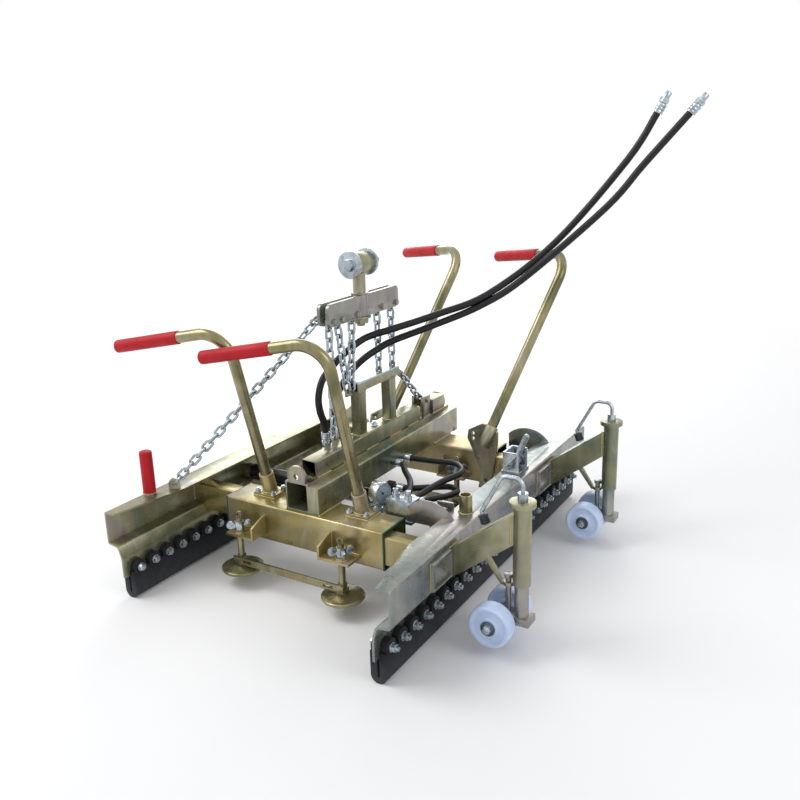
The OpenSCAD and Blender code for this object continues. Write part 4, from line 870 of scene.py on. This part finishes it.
# %% Seams of the frame
# heights of the seams on the crossbeam covers, the long beam and the square tube, and under the roof bar
COVER_TOP, BEAM_TOP, TUBE_TOP, ROOF_FOOT = 230.5, 314.5, 362.4, 491.8
BRACKETS = ((-183, -345), (157, -345), (-183, 301), (157, 301))
frame_beads = []
for y0, y1 in ((-335, -235), (301, 411)):
    for x in (-52, 56):
        frame_beads.append(bead((x, y0, COVER_TOP), (x, y1, COVER_TOP), 3.2))
for y in (-235, 301):
    frame_beads.append(bead((-50, y, COVER_TOP), (54, y, COVER_TOP), 3.0))
for x in (-27, 21):
    for y0 in (-284, -160, -40, 90, 200):
        frame_beads.append(bead((x, y0, BEAM_TOP), (x, y0 + 58, BEAM_TOP), 2.8))
for y in (-44, 121):
    for x in (-15, 15):
        frame_beads.append(bead((x, y - 17, TUBE_TOP), (x, y + 17, TUBE_TOP), 2.6))
        frame_beads.append(bead((x, y - 17, ROOF_FOOT), (x, y + 17, ROOF_FOOT), 2.4))
    for s in (-18, 18):
        frame_beads.append(bead((-14, y + s, TUBE_TOP), (14, y + s, TUBE_TOP), 2.6))
for x0, y0 in BRACKETS:
    # the front left bracket is the mirror image of the other three
    mirrored = (x0, y0) == BRACKETS[0]
    west, east = (-34, 62) if mirrored else (-62, 34)
    gusset = x0 + (56 if mirrored else -56)
    frame_beads.append(bead((x0 + west + 2, y0 - 0.5, 153.5), (x0 + east - 6, y0 - 0.5, 153.5), 2.6))
    frame_beads.append(bead((gusset, y0 - 0.5, 156), (gusset, y0 - 0.5, 199), 2.4))
    frame_beads.append(ring_bead(placed_at(x0, y0 - 40, 153.2), 16.4, 2.0))
for x in HAND_XS:
    for s in (-1, 1):
        y, edge = HAND_Y + s * 32, x + s * 36
        frame_beads.append(bead((x - 34, y, COVER_TOP), (x + 34, y, COVER_TOP), 2.6))
        frame_beads.append(bead((edge, HAND_Y - 30, COVER_TOP), (edge, HAND_Y + 30, COVER_TOP), 2.6))
    foot = placed_at(x, HAND_Y, 238.3) @ Matrix.Scale(1.04, 4, (0, 1, 0))
    frame_beads.append(ring_bead(foot, 21.4, 2.8))
    tilt = Matrix.Rotation(HAND_LEAN, 4, "X")
    mouth = placed_at(x, HAND_Y, HAND_FOOT_Z) @ tilt @ Matrix.Translation((0, 0, 0.0602))
    frame_beads.append(ring_bead(mouth, 17.4, 2.0))
for x in REAR_XS:
    frame_beads.append(bead((x - 56, 301.6, 231), (x + 18, 301.6, 231), 2.8))
    frame_beads.append(bead((x - 31, 300.6, 176), (x - 40, 300.6, 128), 2.6))
    tilt = Matrix.Rotation(REAR_TURN, 4, "Z") @ Matrix.Rotation(REAR_LEAN, 4, "X")
    mouth = placed_at(x, REAR_Y, REAR_FOOT_Z) @ tilt @ Matrix.Translation((0, 0, 0.0045))
    frame_beads.append(ring_bead(mouth, 17.4, 2.0))
for y in (-325, 440):
    frame_beads.append(bead((-34, y, BEAM_TOP), (6, y, BEAM_TOP), 2.6))
for x in (-22, 22):
    frame_beads.append(bead((x, 297, 314.4), (x, 337, 314.4), 2.4))
for x in (-22, 26):
    frame_beads.append(bead((x, 351, 314.4), (x, 425, 314.4), 2.8))
frame_welds = join_beads("frame_welds", frame_beads, "frame")
print("frame seams", len(frame_beads), "with", len(frame_welds.data.polygons), "faces")

# %% Seams of the jaws and columns
# a jaw's upright web: its slide tubes meet the inner face, the wheel arms and pockets the outer one
WEB_IN, WEB_OUT = 442, 447.5
left_beads, right_beads = [], []
for dy in (0, BEAM_GAP):
    y0, y1 = -290 + dy, -239.5 + dy
    left_beads += [bead((-WEB_IN, y, 162), (-WEB_IN, y, 214), 2.8) for y in (y0 + 0.5, y1)]
    left_beads.append(bead((-WEB_IN, y0, 217.3), (-WEB_IN, y1, 217.3), 2.8))
    y0, y1 = -340 + dy, -290.5 + dy
    right_beads += [bead((WEB_IN, y, 162), (WEB_IN, y, 214), 2.8) for y in (y0, y1)]
    right_beads.append(bead((WEB_IN, y0, 217.3), (WEB_IN, y1, 217.3), 2.8))
    for y in (-345 + dy, -300 + dy):
        right_beads.append(bead((WEB_OUT, y, 160), (WEB_OUT, y, 232), 3.0))
        right_beads.append(bead((605, y, 283), (605, y, 350), 3.0))
    right_beads.append(bead((WEB_OUT, -343 + dy, 234.4), (WEB_OUT, -302 + dy, 234.4), 3.0))
    right_beads.append(bead((447.6, -440 + dy, 165), (447.6, -440 + dy, 234), 2.2))
    right_beads.append(ring_bead(placed_at(COLUMN_X, COLUMN_Y["front"] + dy, 371.6), 21.8, 2.4))
    right_beads.append(bead((441.5, -234.6 + dy, 170), (441.5, -234.6 + dy, 244), 2.4))
    right_beads.append(bead((370, -234.6 + dy, 245.6), (436, -234.6 + dy, 245.6), 2.4))
right_beads.append(ring_bead(placed_at(405, -172, 251.4), 17.6, 2.6))
left_beads.append(ring_bead(placed_at(*GRIP_POST_AT, 257.2), 18.2, 1.6))
join_beads("left_jaw_welds", left_beads, "frame")
join_beads("right_jaw_welds", right_beads, "right_side")
print("jaw seams", len(left_beads), "and", len(right_beads))

# %% [markdown]
# The light is that of a white studio: a pale floor and surround, one broad lamp high on the left, a weaker
# one on the right, and a wide low one behind, which glances off every upper face. Metal shows what stands
# round it, so the white surround is also what the zinc reflects.

# %% Studio floor and surround
bpy.ops.object.select_all(action="DESELECT")
bpy.ops.mesh.primitive_circle_add(vertices=128, radius=7.0, fill_type="NGON", location=(0, 0, -0.0005))
floor = bpy.context.object
floor.name = "floor"
floor_finish, floor_surface = new_finish("studio_floor", Roughness=0.9)
floor_surface.inputs["Base Color"].default_value = seen("#f6f6f6")
floor_surface.inputs["Specular IOR Level"].default_value = 0.1
# the floor thins out with distance, so that it ends without an edge
spot = add(floor_finish, "ShaderNodeTexCoord").outputs["Object"]
reach = add(floor_finish, "ShaderNodeVectorMath", {"operation": "LENGTH"}, {0: spot})
thin = add(floor_finish, "ShaderNodeMapRange", {"interpolation_type": "SMOOTHSTEP"},
           {"Value": reach.outputs["Value"], "From Min": 1.3, "From Max": 4.2, "To Min": 1.0, "To Max": 0.0})
floor_finish.node_tree.links.new(thin.outputs["Result"], floor_surface.inputs["Alpha"])
floor.data.materials.append(floor_finish)
world = bpy.data.worlds.new("studio")
bpy.context.scene.world = world
world.use_nodes = True
links, plain = world.node_tree.links, world.node_tree.nodes["Background"]
plain.inputs["Color"].default_value = seen("#fbfcff")
plain.inputs["Strength"].default_value = 0.62
# the camera, glass and mirror reflections see full white, and everything else is lit less
white = add(world, "ShaderNodeBackground", feeds={"Color": seen("#ffffff"), "Strength": 1.0})
ray = add(world, "ShaderNodeLightPath").outputs
either = {"operation": "MAXIMUM"}
direct = add(world, "ShaderNodeMath", either, {0: ray["Is Camera Ray"], 1: ray["Is Transmission Ray"]})
shown = add(world, "ShaderNodeMath", either, {0: direct.outputs[0], 1: ray["Is Glossy Ray"]})
mix = add(world, "ShaderNodeMixShader", feeds={
    "Fac": shown.outputs[0], 1: plain.outputs["Background"], 2: white.outputs["Background"]})
links.new(mix.outputs["Shader"], world.node_tree.nodes["World Output"].inputs["Surface"])
print("floor and surround ready")

# %% Lamps
def lamp(name, place, towards, size, power):
    """A square area lamp aimed at a point."""
    data = bpy.data.lights.new(name, "AREA")
    data.shape = "SQUARE"
    data.size = size
    data.energy = power
    source = bpy.data.objects.new(name, data)
    bpy.context.scene.collection.objects.link(source)
    source.location = place
    source.rotation_mode = "QUATERNION"
    source.rotation_quaternion = (Vector(place) - Vector(towards)).to_track_quat("Z", "Y")
    return source


lamp("broad_high_left", (-2.2, -1.6, 3.4), (0, 0, 0.3), 2.4, 80)
lamp("weaker_right", (3.0, -0.6, 2.2), (0, 0, 0.3), 1.6, 20)
low_back = lamp("low_back", (-1.9, 3.3, 1.5), (0, 0, 0.35), 3.4, 90)
low_back.visible_camera = False
print("three lamps")

# %% Finish
bpy.context.scene.view_settings.view_transform = "Standard"
